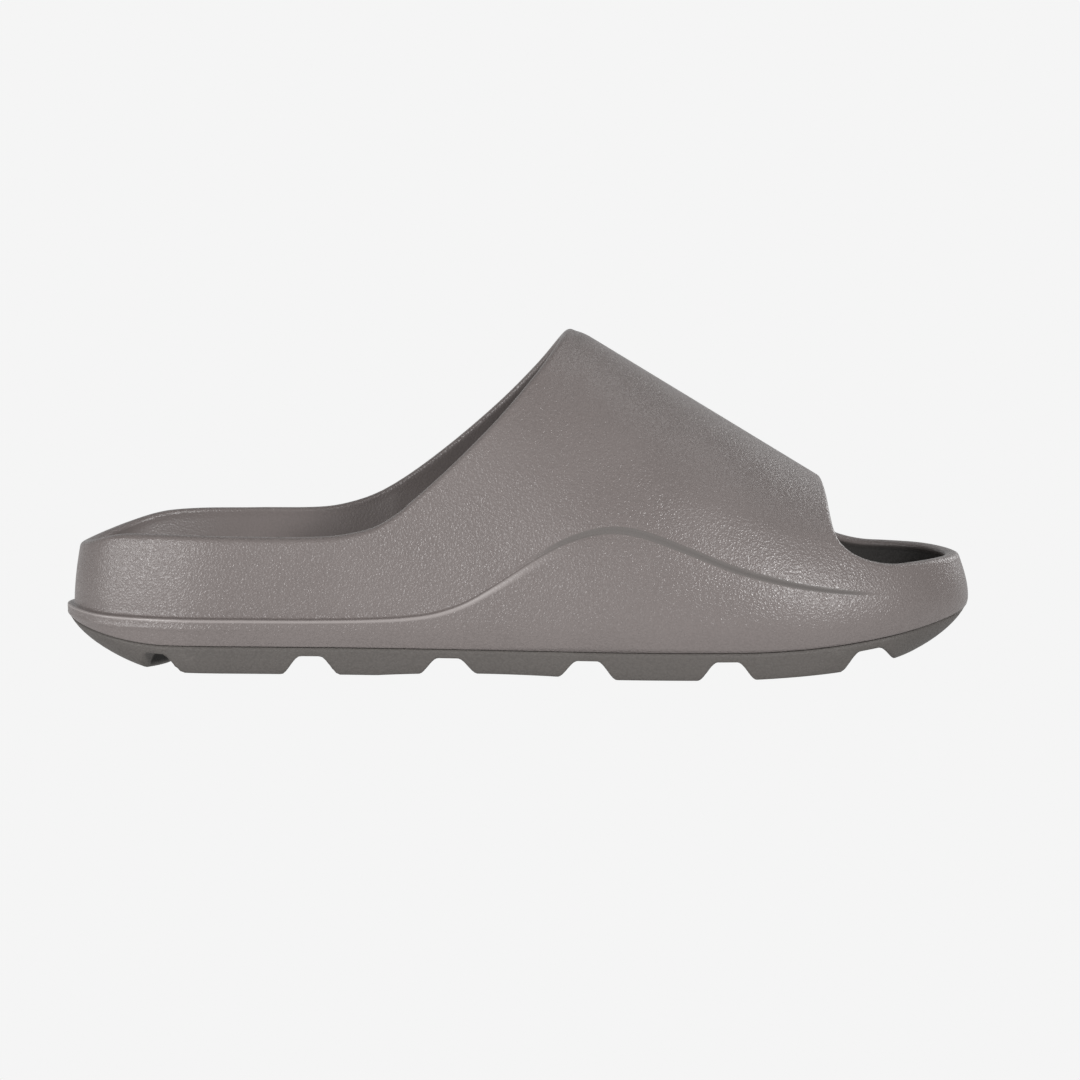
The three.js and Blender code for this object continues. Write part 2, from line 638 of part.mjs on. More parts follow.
// One groove's cutter, open downwards, with its ceiling under the web.
function grooveCutter(index) {
  const shifts = { 0: HEEL_GROOVE_SHIFT, [GROOVE_COUNT - 1]: TOE_GROOVE_SHIFT };
  const x = (index - (GROOVE_COUNT - 1) / 2) * GROOVE_PITCH + (shifts[index] ?? 0);
  const ceiling = partingHeight(share(x)) - GAP - GROOVE_WEB;
  const half = GROOVE_WIDTH / 2;
  const topHalf = GROOVE_TOP_WIDTH / 2;
  const mouth = groundHeight(share(x)) - ceiling;
  const deep = mouth - OUTSOLE_HEIGHT;
  const wider = half + OUTSOLE_HEIGHT;
  const shape = new THREE.Shape();
  shape.moveTo(-wider, deep);
  shape.lineTo(wider, deep);
  shape.lineTo(half + GROOVE_LIP, mouth);
  shape.lineTo(half - GROOVE_LIP / 2, mouth + GROOVE_LIP);
  shape.lineTo(topHalf + GROOVE_CORNER / 2, -GROOVE_CORNER);
  shape.quadraticCurveTo(topHalf, 0, topHalf - GROOVE_CORNER, 0);
  shape.lineTo(GROOVE_CORNER - topHalf, 0);
  shape.quadraticCurveTo(-topHalf, 0, -topHalf - GROOVE_CORNER / 2, -GROOVE_CORNER);
  shape.lineTo(GROOVE_LIP / 2 - half, mouth + GROOVE_LIP);
  shape.lineTo(-half - GROOVE_LIP, mouth);
  const depth = 2 * BALL_WIDTH;
  const bar = new THREE.ExtrudeGeometry(shape, { depth, bevelEnabled: false, curveSegments: 3 });
  bar.translate(0, 0, -depth / 2);
  bar.rotateX(Math.PI / 2);
  const step = 1;
  const slope = (partingHeight(share(x + step)) - partingHeight(share(x - step))) / (2 * step);
  bar.rotateY(-Math.atan(slope));
  if (index === 0) bar.rotateZ(-HEEL_GROOVE_TURN);
  bar.translate(x, 0, ceiling);
  return solid(bar);
}

function outsole() {
  let made = solid(outsoleBlank());
  for (let i = 0; i < GROOVE_COUNT; i++) made = made.subtract(grooveCutter(i));
  return geometryOf(made);
}

// The insole lies on the floor of the body, with its edge raised into a shallow cup.
function insole() {
  const skin = new Skin();
  const lists = ring.map((spot, i) => {
    const low = innerWall(i, wallFoot(spot).z, INSOLE_SIDE_GAP);
    low.z = floorHeight(share(low.x)) + GAP;
    return [low, innerWall(i, insoleEdge(spot), INSOLE_SIDE_GAP)].map((point) => skin.add(point));
  });
  skin.strips(lists, true);
  const top = (point, station, across) => {
    const edge = across < 0.5 ? outerStations[station] : archStations[station];
    return footbedHeight(share(point.x)) + edgeRise(edge) * Math.abs(2 * across - 1) ** 2.5;
  };
  bridge(skin, lists.map((list) => list[1]), top, false);
  bridge(skin, lists.map((list) => list[0]), (p) => floorHeight(share(p.x)) + GAP, true);
  return skin.geometry();
}

const taupe = 0x8a8380;
const pieces = {
  upper: { geometry: upper(), color: taupe, roughness: 0.55 },
  outsole: { geometry: outsole(), color: 0x6f6965, roughness: 0.75 },
  insole: { geometry: insole(), color: 0x7b7572, roughness: 0.7 },
};

const sandal = new THREE.Group();
for (const [name, { geometry, color, roughness }] of Object.entries(pieces)) {
  geometry.computeVertexNormals();
  const material = new THREE.MeshStandardMaterial({ color, roughness, metalness: 0 });
  const mesh = new THREE.Mesh(geometry, material);
  mesh.name = name;
  sandal.add(mesh);
}
export default sandal;
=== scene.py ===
"""Looks of a moulded foam slide sandal for the right foot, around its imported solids.

Lengths are metres. +X is the toe, -Y the outer side of the foot and +Z is up. Each surface is worked out
from the sizes in the sidebar and from the short tables below, whose rows are places along the shoe.
"""

import math

import bpy
import numpy as np
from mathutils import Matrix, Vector

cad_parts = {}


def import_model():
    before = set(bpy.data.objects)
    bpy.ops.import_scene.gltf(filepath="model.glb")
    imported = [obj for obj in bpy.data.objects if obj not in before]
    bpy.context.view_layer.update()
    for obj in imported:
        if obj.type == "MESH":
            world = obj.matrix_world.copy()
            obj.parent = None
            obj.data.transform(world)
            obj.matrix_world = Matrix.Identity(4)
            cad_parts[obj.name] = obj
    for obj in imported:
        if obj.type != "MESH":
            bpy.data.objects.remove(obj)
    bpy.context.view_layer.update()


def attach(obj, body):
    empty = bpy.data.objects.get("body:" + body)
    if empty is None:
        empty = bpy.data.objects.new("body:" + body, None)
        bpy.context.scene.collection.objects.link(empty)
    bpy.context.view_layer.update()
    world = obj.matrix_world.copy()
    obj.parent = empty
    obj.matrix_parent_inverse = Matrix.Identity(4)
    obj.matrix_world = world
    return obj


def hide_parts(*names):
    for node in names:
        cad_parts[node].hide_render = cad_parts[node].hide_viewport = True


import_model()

bl_info = {
    "name": "Foam slide sandal",
    "version": (1, 0, 0),
    "blender": (4, 5, 0),
    "location": "3D View > Sidebar > Sandal",
    "description": "Builds the upper, outsole and insole of a foam slide and its studio",
    "category": "Add Mesh",
}

MM = 0.001
BODY = "root"


def table(columns, *rows):
    """A table as named columns of numbers."""
    return dict(zip(columns.split(), np.array(rows, float).T))


# Widest outline from above. heel, waist and ball say which width a row takes, and outer and arch are
# shares of it.
PLAN = table(
    "along heel waist ball outer arch",
    (0, 1, 0, 0, 0, 0),
    (0.016, 1, 0, 0, 0.205, 0.205),
    (0.06, 1, 0, 0, 0.37, 0.375),
    (0.135, 1, 0, 0, 0.465, 0.475),
    (0.225, 1, 0, 0, 0.495, 0.505),
    (0.32, 0, 1, 0, 0.49, 0.465),
    (0.42, 0, 1, 0, 0.535, 0.465),
    (0.52, 0, 0, 1, 0.45, 0.39),
    (0.62, 0, 0, 1, 0.49, 0.45),
    (0.71, 0, 0, 1, 0.5, 0.495),
    (0.79, 0, 0, 1, 0.482, 0.5),
    (0.865, 0, 0, 1, 0.425, 0.47),
    (0.93, 0, 0, 1, 0.325, 0.385),
    (0.982, 0, 0, 1, 0.165, 0.225),
    (1, 0, 0, 1, -0.03, 0.03),
)

# Shape of the side wall, as shares of the side tuck, collar height, strap lean, wave step and ledge. base
# is the height where the strap begins, as a share of the wave's crest.
SIDE = table(
    "along tuck widest base lean pitch step spread",
    (0, 0.3, 0.41, 1.12, 0.4, 0.22, 1, 0.6),
    (0.08, 0.5, 0.39, 1.12, 0.3, 0.18, 1, 0.6),
    (0.2, 0.6, 0.38, 1.12, 0.2, 0.14, 0.85, 0.6),
    (0.35, 0.7, 0.39, 1.13, 0.2, 0.13, 0.72, 0.6),
    (0.5, 0.85, 0.42, 1.13, 0.3, 0.22, 0.3, 1),
    (0.62, 1, 0.44, 1.1, 0.45, 0.36, -0.5, 2.1),
    (0.74, 1, 0.43, 1.01, 0.58, 0.5, -0.6, 1.7),
    (0.82, 1, 0.43, 0.91, 0.6, 0.6, -0.45, 1.3),
    (0.88, 0.8, 0.45, 0.87, 0.5, 0.5, -0.12, 1),
    (0.94, 0.4, 0.47, 0.86, 0.42, 0.35, 0, 1),
    (1, 0.15, 0.48, 0.86, 0.4, 0.3, 0, 1),
)

# Collar from the heel to the instep: rise from collar height to instep height, and the arch side's extra.
COLLAR = table(
    "along rise extra",
    (0, -0.065, 0),
    (0.05, -0.005, 0.1),
    (0.1, 0.005, 0.8),
    (0.2, -0.002, 1),
    (0.28, 0, 1.05),
    (0.32, 0.02, 1.4),
    (0.355, 0.073, 1.7),
    (0.405, 0.243, 1.45),
    (0.475, 0.545, 0.8),
    (0.525, 0.8, 0.2),
    (0.56, 1, 0),
    (0.6, 1.22, 0),
)

# Wave line on the side: rise from its lowest to its highest point.
WAVE = table(
    "along rise",
    (0, 0.05),
    (0.05, 0.01),
    (0.2, 0),
    (0.33, 0.015),
    (0.4, 0.07),
    (0.44, 0.19),
    (0.48, 0.42),
    (0.52, 0.68),
    (0.555, 0.86),
    (0.595, 0.945),
    (0.63, 0.905),
    (0.68, 0.735),
    (0.73, 0.55),
    (0.78, 0.42),
    (0.83, 0.33),
    (0.88, 0.285),
    (1, 0.27),
)

# Front edge of the strap and then the toe rim: rise from toe rim height to throat height.
THROAT = table(
    "along rise",
    (0.838, 1.2),
    (0.8395, 1),
    (0.84, 0.82),
    (0.8405, 0.62),
    (0.8425, 0.46),
    (0.8495, 0.29),
    (0.864, 0.16),
    (0.884, 0.07),
    (0.908, 0.02),
    (0.935, 0.02),
    (0.97, 0.03),
    (1, 0.02),
)

# Top of the footbed: rise from ball height to heel height, and the height of its edge.
FOOTBED = table(
    "along rise cup arch",
    (0, 1.2, 1, 0),
    (0.12, 0.95, 1, 0),
    (0.24, 1, 0.8, 0.5),
    (0.4, 1.15, 0.6, 1.6),
    (0.54, 0.7, 0.4, 0.9),
    (0.68, 0.1, 0.3, 0),
    (0.8, 0, 0.3, 0),
    (0.9, 0.35, 0.3, 0),
    (1, 1.1, 0.4, 0),
)

# Shape of the strap and the rims
SHOULDER = 0.52  # how far up the strap's side goes on straight
CROWN = 0.5  # how flat the ridge is
STRAP_EASE = 0.2  # share of the strap's length in which its wall eases from the rim's
RIM_FULLNESS = 0.6  # 1 rounds a rim's inner edge as an ellipse, and less makes it crisper
RIM_CREST = 0.3  # the rim is highest this far inside its middle, as a share of half its wall
LINE_SPREAD = 0.4  # spread of the line sunk along the wave, as a share of the ledge's height

# How sharply the ends turn up and in: 1 is a straight slope, and more keeps it to the very end
HEEL_UPTURN = 1.7
TOE_UPTURN = 2.2
BEVEL_TURN = 2

# Where relief, painted shade and painted highlight of the side start or end, and over what length they
# fade, along the shoe
LINE_START = (0.4, 0.1)
LINE_END = (0.9, 0.06)
BEND_END = (0.28, 0.15)
# the wave band is painted darker as shade, and smoothed, between these
BAND_START = (0.5, 0.05)
BAND_END = (0.885, 0.03)
# the ledge's edge is painted lighter as a highlight, and smoothed, up to here
EDGE_END = (0.56, 0.1)
SHADE_START = -60 * MM  # from here to the toe the inner walls get more and more painted shade
SHADE_LENGTH = 190 * MM  # over this length

# Shape of the tread and the insole's edge
GROOVE_FULLNESS = 0.9  # less than 1 makes a groove's flanks fuller
GROOVE_DARK = 0.9 * MM  # painted shade in a groove begins this far up, and is full at twice that
CORNER_IN = (0.45, 0.22)  # where the side's profile bends in, along the middle and at the ends
CORNER_UP = (0.08, 0.38)  # and how high, as shares of the way between tread and top edge
INSOLE_EDGE = 1.2 * MM  # rounding of the insole's edge
INSOLE_EDGE_CUT = 0.3  # where the rounding cuts the corner, as a share of it
CUP_POWER = 2.5  # how close to the edge the cup stays

# How finely the pieces are divided
UPPER_STATIONS = {"heel": 84, "strap": 92, "toe": 60}
OUTSOLE_STATIONS = {"heel": 150, "strap": 220, "toe": 80}
LOWER_ROWS = 20  # rows of faces from the parting line to the wave line
LEDGE_ROWS = 8  # in the step at the wave line
WALL_ROWS = 16  # from there to the rim
INNER_ROWS = 14
OUTSOLE_ROWS = 12
STRAP_ARCS = 132
RIM_STEPS = 14
FLOOR_STEPS = 12
BASE_STEPS = 8
SEAT_STEPS = 6
TREAD_STEPS = 40
BED_STEPS = 28

# How curves are worked out
SEARCH_STEPS = 34
THROAT_POINTS = 1200
THROAT_REACH = 900  # the strap's front edge ends within this many of them
OUTLINE_STEP = 1e-4
HULL_STEP = 0.01
STRAP_CLEAR = 3.0  # sections of the outline at either end that the strap's rear edge never reaches
THROAT_CLEAR = 1.0  # and at the toe for its front edge
TINY = 1e-12


def hermite(start, start_slope, end, end_slope, t):
    """Cubic from one value and slope to another, with t from 0 to 1."""
    eased = t * t * (3 - 2 * t)
    bend = start_slope * t * (1 - t) ** 2 - end_slope * t * t * (1 - t)
    return start + (end - start) * eased + bend


def read(rows, column, along):
    """One column of a table at places along the shoe, as a smooth curve through its rows."""
    xs, ys = rows["along"], rows[column]
    at = np.clip(along, xs[0], xs[-1])
    i = np.clip(np.searchsorted(xs, at, side="left") - 1, 0, len(xs) - 2)
    row = np.arange(len(xs))
    previous, following = np.maximum(row - 1, 0), np.minimum(row + 1, len(xs) - 1)
    slopes = (ys[following] - ys[previous]) / (xs[following] - xs[previous])
    span = xs[i + 1] - xs[i]
    return hermite(ys[i], slopes[i] * span, ys[i + 1], slopes[i + 1] * span, (at - xs[i]) / span)


def smooth(t):
    """Eased 0 to 1, and flat outside."""
    t = np.clip(t, 0, 1)
    return t * t * (3 - 2 * t)


def after(along, place, length):
    """0 up to a place along the shoe, eased to 1 over a length after it."""
    return smooth((along - place) / length)


def before(along, place, length):
    """0 from a place along the shoe on, eased to 1 over a length before it."""
    return smooth((place - along) / length)


def crossing(falling, low, high):
    """Where a falling function of an array crosses zero."""
    for _ in range(SEARCH_STEPS):
        middle = (low + high) / 2
        above = falling(middle) > 0
        low, high = np.where(above, middle, low), np.where(above, high, middle)
    return (low + high) / 2


def catmull(points, t):
    """Points of a smooth curve through evenly counted points. t is counted in points."""
    i = np.floor(t).astype(int)
    w = (t - i)[:, None]
    p0, p1, p2, p3 = (points[(i + k) % len(points)] for k in (-1, 0, 1, 2))
    v0, v1 = (p2 - p0) / 2, (p3 - p1) / 2
    return (
        (2 * p1 - 2 * p2 + v0 + v1) * w**3 + (-3 * p1 + 3 * p2 - 2 * v0 - v1) * w**2 + v0 * w + p1
    )


def with_height(flat, height):
    """Flat points or directions with a height added."""
    return np.concatenate([flat, np.broadcast_to(height, flat.shape[:-1])[..., None]], axis=-1)


def unit(vectors):
    """Vectors of length 1."""
    return vectors / np.maximum(np.linalg.norm(vectors, axis=-1, keepdims=True), TINY)


def fade(distance, reach, power):
    """1 at no distance, falling to 0 at the reach."""
    return np.maximum(0, 1 - distance / reach) ** power


class Form:
    """The sandal's surfaces, from the sizes in the sidebar."""

    def __init__(self, sizes):
        self.s = sizes
        s = sizes
        widths = PLAN["heel"] * s.heel_width + PLAN["waist"] * s.waist_width
        widths = widths + PLAN["ball"] * s.ball_width
        x = (PLAN["along"] - 0.5) * s.length
        outer = np.stack([x, -PLAN["outer"] * widths], 1)
        arch = np.stack([x, PLAN["arch"] * widths], 1)
        self.outline = np.concatenate([outer, arch[1:-1][::-1]])
        self.sections = len(x) - 1
        tx = (THROAT["along"] - 0.5) * s.length
        tz = s.toe_rim_height + THROAT["rise"] * (s.throat_height - s.toe_rim_height)
        curve = np.stack([tx, tz], 1)
        ends = np.concatenate([curve[:1], curve, curve[-1:]])
        fine = catmull(ends, np.linspace(1, len(curve) - 1e-6, THROAT_POINTS))
        turn = np.gradient(fine, axis=0)
        inside = unit(np.stack([turn[:, 1], -turn[:, 0]], 1))
        self.brink_line = fine + inside * s.rim_rise

    def along(self, x):
        return x / self.s.length + 0.5

    def collar(self, along, arch):
        s = self.s
        rise = s.collar_height + read(COLLAR, "rise", along) * (s.instep_height - s.collar_height)
        return rise + arch * s.arch_collar_rise * read(COLLAR, "extra", along)

    def wave(self, along):
        s = self.s
        return s.wave_low + read(WAVE, "rise", along) * (s.wave_high - s.wave_low)

    def footbed(self, along):
        s = self.s
        rise = read(FOOTBED, "rise", along)
        return s.ball_footbed_height + rise * (s.heel_footbed_height - s.ball_footbed_height)

    def floor(self, along):
        return self.footbed(along) - self.s.insole_thickness - self.s.gap

    def ridge(self, x):
        s = self.s
        ahead = x + s.length / 2 - s.instep_place
        rounded = s.crown_drop * fade(np.maximum(ahead, 0), s.crown_length, BEVEL_TURN)
        return s.instep_height - s.rim_rise / 2 - s.ridge_slope * ahead - rounded

    def parting(self, along):
        s = self.s
        heel = s.heel_parting_rise * fade(along * s.length, s.heel_parting_length, HEEL_UPTURN)
        toe = s.toe_parting_rise * fade((1 - along) * s.length, s.toe_parting_length, TOE_UPTURN)
        return s.outsole_height + heel + toe

    def ground(self, along):
        s = self.s
        off_middle = np.abs(2 * (along * s.length - s.arch_middle)) / s.arch_length
        arch = s.arch_rise * (1 - np.minimum(off_middle, 1) ** 2)
        heel = s.heel_bevel_rise * fade(along * s.length, s.heel_bevel_length, BEVEL_TURN)
        toe = s.toe_spring * fade((1 - along) * s.length, s.toe_spring_length, BEVEL_TURN)
        return arch + heel + toe

    def strap_base(self, along):
        return self.s.wave_high * read(SIDE, "base", along)

    def throat_x(self, height):
        line = self.brink_line[: np.argmin(self.brink_line[:THROAT_REACH, 1])]
        return np.interp(height, line[::-1, 1], line[::-1, 0])

    def toe_brink(self, x):
        line = self.brink_line
        ordered = np.maximum.accumulate(line[:, 0])
        keep = np.concatenate([[True], np.diff(ordered) > 0])
        return np.interp(x, ordered[keep], line[keep, 1])

    def place(self, section, arch):
        """Points of the outline, their inward directions and how far along the shoe they are."""
        count = 2 * self.sections
        t = np.where(arch, count - section, section)
        point = catmull(self.outline, t)
        ahead = catmull(self.outline, t + OUTLINE_STEP) - catmull(self.outline, t - OUTLINE_STEP)
        inward = unit(np.stack([-ahead[:, 1], ahead[:, 0]], 1))
        return point, inward, np.clip(self.along(point[:, 0]), 0, 1)

    def ledge_rise(self, along):
        return self.s.ledge_rise * read(SIDE, "spread", along)

    def inset(self, along, height):
        """How far the outer surface lies inside the widest outline at a height."""
        s = self.s
        parting = self.parting(along)
        base = self.strap_base(along)
        widest = np.maximum(read(SIDE, "widest", along) * s.collar_height, parting + MM)
        ledge = self.ledge_rise(along)
        above = height - self.wave(along)
        stepped = s.wave_step * read(SIDE, "step", along) * smooth(above / ledge)
        from_line = (above - ledge / 2) / (LINE_SPREAD * ledge)
        from_bend = (above + s.heel_bend_drop) / s.heel_bend_width
        sunk = s.wave_line_depth * after(along, *LINE_START) * before(along, *LINE_END)
        sunk = sunk * np.exp(-(from_line**2))
        bend = s.heel_bend_height * before(along, *BEND_END) * np.exp(-(from_bend**2))
        tuck = s.side_tuck * read(SIDE, "tuck", along)
        tucked = tuck * (np.maximum(widest - height, 0) / (widest - parting)) ** 2
        lean = s.strap_lean * read(SIDE, "lean", along)
        pitch = read(SIDE, "pitch", along)
        span = base - widest
        t = np.clip((height - widest) / span, 0, 1)
        leaned = hermite(0, 0, lean, pitch * span, t) + pitch * np.maximum(height - base, 0)
        return stepped + tucked + leaned + sunk - bend

    def on_wall(self, spot, height, further=0.0):
        point, inward, along = spot
        reach = self.inset(along, height) + further
        return with_height(point + inward * reach[:, None], height)

    def hull(self, section, across):
        """The hull over the foot: across is 0 at the strap's outer foot and 1 at its arch foot."""
        feet = []
        for arch in (False, True):
            spot = self.place(section, arch)
            foot = self.on_wall(spot, self.strap_base(spot[2]))
            pitch = read(SIDE, "pitch", spot[2])
            rising = unit(with_height(spot[1] * pitch[:, None], np.ones(len(pitch))))
            feet.append((foot, rising))
        far = (across > 0.5)[:, None]
        foot = np.where(far, feet[1][0], feet[0][0])
        rising = np.where(far, feet[1][1], feet[0][1])
        x = (feet[0][0][:, 0] + feet[1][0][:, 0]) / 2
        ridge = np.stack([x, np.full(len(x), self.s.ridge_offset), self.ridge(x)], 1)
        shoulder = foot + rising * (SHOULDER * (ridge[:, 2] - foot[:, 2]))[:, None]
        crown = ridge.copy()
        crown[:, 1] += (foot[:, 1] - ridge[:, 1]) * CROWN
        t = np.where(across > 0.5, 2 - 2 * across, 2 * across)[:, None]
        return (
            foot * (1 - t) ** 3
            + 3 * shoulder * t * (1 - t) ** 2
            + 3 * crown * t * t * (1 - t)
            + ridge * t**3
        )

    def hull_normal(self, section, across):
        low, high = np.maximum(across - HULL_STEP, 0), np.minimum(across + HULL_STEP, 1)
        along = self.hull(section + HULL_STEP, across) - self.hull(section - HULL_STEP, across)
        over = self.hull(section, high) - self.hull(section, low)
        return unit(np.cross(along, over))

    def strap_rear(self, across):
        """Where the collar's line cuts the hull, in sections of the outline."""

        def above(section):
            p = self.hull(section, across)
            return p[:, 2] - (self.collar(self.along(p[:, 0]), across) - self.s.rim_rise)

        low = np.full(len(across), STRAP_CLEAR)
        return crossing(above, low, np.full(len(across), self.sections - STRAP_CLEAR))

    def strap_front(self, across):
        """Where the throat's line cuts the hull."""

        def behind(section):
            p = self.hull(section, across)
            skew = self.s.throat_skew * smooth(2 * across - 1)
            return self.throat_x(p[:, 2]) - skew - p[:, 0]

        low = np.full(len(across), STRAP_CLEAR)
        return crossing(behind, low, np.full(len(across), self.sections - THROAT_CLEAR))


class Skin:
    """A mesh being made from grids of shared vertices."""

    def __init__(self):
        self.points = []
        self.marks = {"inside": [], "shade": [], "band": [], "edge": []}
        self.count = 0
        self.quads = []

    def add(self, points, **marks):
        """Adds an array of points and gives back the numbers of its vertices in the same layout.

        marks are numbers from 0 to 1 for each point, which the materials read.
        """
        layout = np.shape(points)[:-1]
        flat = np.asarray(points, float).reshape(-1, 3)
        ids = np.arange(self.count, self.count + len(flat)).reshape(layout)
        self.points.append(flat)
        for name, kept in self.marks.items():
            kept.append(np.broadcast_to(marks.get(name, 0.0), layout).ravel())
        self.count += len(flat)
        return ids

    def faces(self, ids, closed=False, flipped=False):
        """Faces between neighbouring rows of a grid of vertex numbers."""
        here, after = (ids, np.roll(ids, -1, 0)) if closed else (ids[:-1], ids[1:])
        quads = np.stack([here[:, :-1], after[:, :-1], after[:, 1:], here[:, 1:]], -1)
        quads = quads.reshape(-1, 4)
        self.quads.append(quads[:, ::-1] if flipped else quads)

    def built(self, name):
        """The mesh object, smooth shaded."""
        polygons = []
        for quad in np.concatenate(self.quads).tolist():
            corners = [c for i, c in enumerate(quad) if c != quad[i - 1]]
            if len(set(corners)) == len(corners) > 2:
                polygons.append(corners)
        mesh = bpy.data.meshes.new(name)
        mesh.from_pydata(np.concatenate(self.points).tolist(), [], polygons)
        for mark, kept in self.marks.items():
            layer = mesh.attributes.new(mark, "FLOAT", "POINT")
            layer.data.foreach_set("value", np.concatenate(kept).astype(np.float32))
        mesh.validate()
        mesh.shade_smooth()
        piece = bpy.data.objects.new(name, mesh)
        bpy.context.scene.collection.objects.link(piece)
        return piece


class Stations:
    """Places round the shoe, the same number on either side. The strap lies between two of them."""

    def __init__(self, form, heel, strap, toe):
        self.form = form
        self.start, self.end = heel, heel + strap
        sides = []
        for arch in (0.0, 1.0):
            rear = form.strap_rear(np.array([arch]))[0]
            front = form.strap_front(np.array([arch]))[0]
            parts = [
                np.linspace(0, rear, heel, endpoint=False),
                np.linspace(rear, front, strap, endpoint=False),
                np.linspace(front, form.sections, toe + 1),
            ]
            sides.append(np.concatenate(parts))
        self.last = len(sides[0]) - 1
        self.section = np.concatenate([sides[0], sides[1][1:-1][::-1]])
        self.arch = np.arange(len(self.section)) > self.last
        self.count = len(self.section)
        self.opposite = (self.count - np.arange(self.count)) % self.count
        self.station = np.minimum(np.arange(self.count), self.opposite)
        self.outer_side = np.arange(self.last + 1)
        self.arch_side = self.opposite[self.outer_side]
        self.spot = form.place(self.section, self.arch)
        self.along = self.spot[2]

    def brink(self):
        """The height at which the outer surface stops and its rim or strap begins."""
        form = self.form
        collar = form.collar(self.along, self.arch) - form.s.rim_rise
        base = form.strap_base(self.along)
        toe = base
        for _ in range(SEARCH_STEPS):
            x = form.on_wall(self.spot, toe)[:, 0]
            toe = form.toe_brink(x + self.arch * form.s.throat_skew)
        low = np.where(self.station < self.start, collar, base)
        return np.where(self.station > self.end, toe, low)

    def wall(self):
        """Wall thickness: the rims', and the strap's away from its edges."""
        share = (self.station - self.start) / (self.end - self.start)
        return strap_thickness(self.form.s, share)


def strap_thickness(sizes, share):
    """The strap is a little thicker between its two rounded edges."""
    inside = smooth(np.minimum(share, 1 - share) / STRAP_EASE)
    return sizes.rim_wall + (sizes.strap_wall - sizes.rim_wall) * inside


def bridge(skin, stations, edge, height_at, steps, flipped, shade_at=None):
    """A surface across the shoe from each outer station to the arch station opposite."""
    pool = np.concatenate(skin.points)
    outer, arch = edge[stations.outer_side], edge[stations.arch_side]
    t = np.linspace(0, 1, steps + 1)[None, :, None]
    points = pool[outer][:, None] * (1 - t) + pool[arch][:, None] * t
    points[..., 2] = height_at(points, t[..., 0])
    ids = skin.add(points, shade=shade_at(points) if shade_at else 0.0)
    ids[:, 0], ids[:, -1] = outer, arch
    ids[0, :], ids[-1, :] = edge[0], edge[stations.last]
    skin.faces(ids, flipped=flipped)


def rim_profile(steps):
    """How far out and up a rim's rounding goes, as shares: wide outside and crisp inside."""
    turn = np.linspace(0, math.pi, steps + 1)
    outside = 1 - (1 + RIM_CREST) * (1 - np.cos(turn))
    inside = -RIM_CREST - (1 - RIM_CREST) * np.abs(np.cos(turn)) ** RIM_FULLNESS
    first = turn < math.pi / 2
    up = np.where(first, np.sin(turn), np.abs(np.sin(turn)) ** RIM_FULLNESS)
    return np.where(first, outside, inside), up


def rolled(skin, outer, inner, rise, steps):
    """Half a turn round a closed rim, from each outer vertex over to its inner one."""
    pool = np.concatenate(skin.points)
    a, b = pool[outer], pool[inner]
    middle = (a + b) / 2
    half = a - middle
    tangent = np.roll(middle, -1, 0) - np.roll(middle, 1, 0)
    beyond = unit(np.cross(half, tangent)) * rise
    out, up = (column[None, 1:-1, None] for column in rim_profile(steps))
    points = middle[:, None] + half[:, None] * out + beyond[:, None] * up
    turned = np.linspace(0, 1, steps + 1)[1:-1]
    rim = skin.add(points, inside=smooth(4 * turned - 3)[None, :])
    ids = np.concatenate([outer[:, None], rim, inner[:, None]], 1)
    skin.faces(ids, closed=True)


def wall_foot(form, stations):
    """The foot of the inner wall, where the floor under the insole begins."""
    point, inward, _ = stations.spot
    foot = point + inward * form.s.floor_wall
    return with_height(foot, form.floor(form.along(foot[:, 0])))


def wall_top(form, stations):
    """The top of the inner wall, one wall thickness in from the outer surface."""
    height = stations.brink()
    along = stations.along
    slope = (form.inset(along, height) - form.inset(along, height - MM)) / MM
    outward = unit(with_height(-stations.spot[1], slope))
    return form.on_wall(stations.spot, height) - outward * stations.wall()[:, None]


def insole_edge(form, stations):
    """The height of the insole's edge."""
    along = stations.along
    cup = read(FOOTBED, "cup", along) + stations.arch * read(FOOTBED, "arch", along)
    return form.footbed(along) + form.s.heel_cup * cup


def between(foot, top, height):
    """Points of the inner wall at a height."""
    share = (height - foot[:, 2]) / (top[:, 2] - foot[:, 2])
    return foot + (top - foot) * share[:, None]


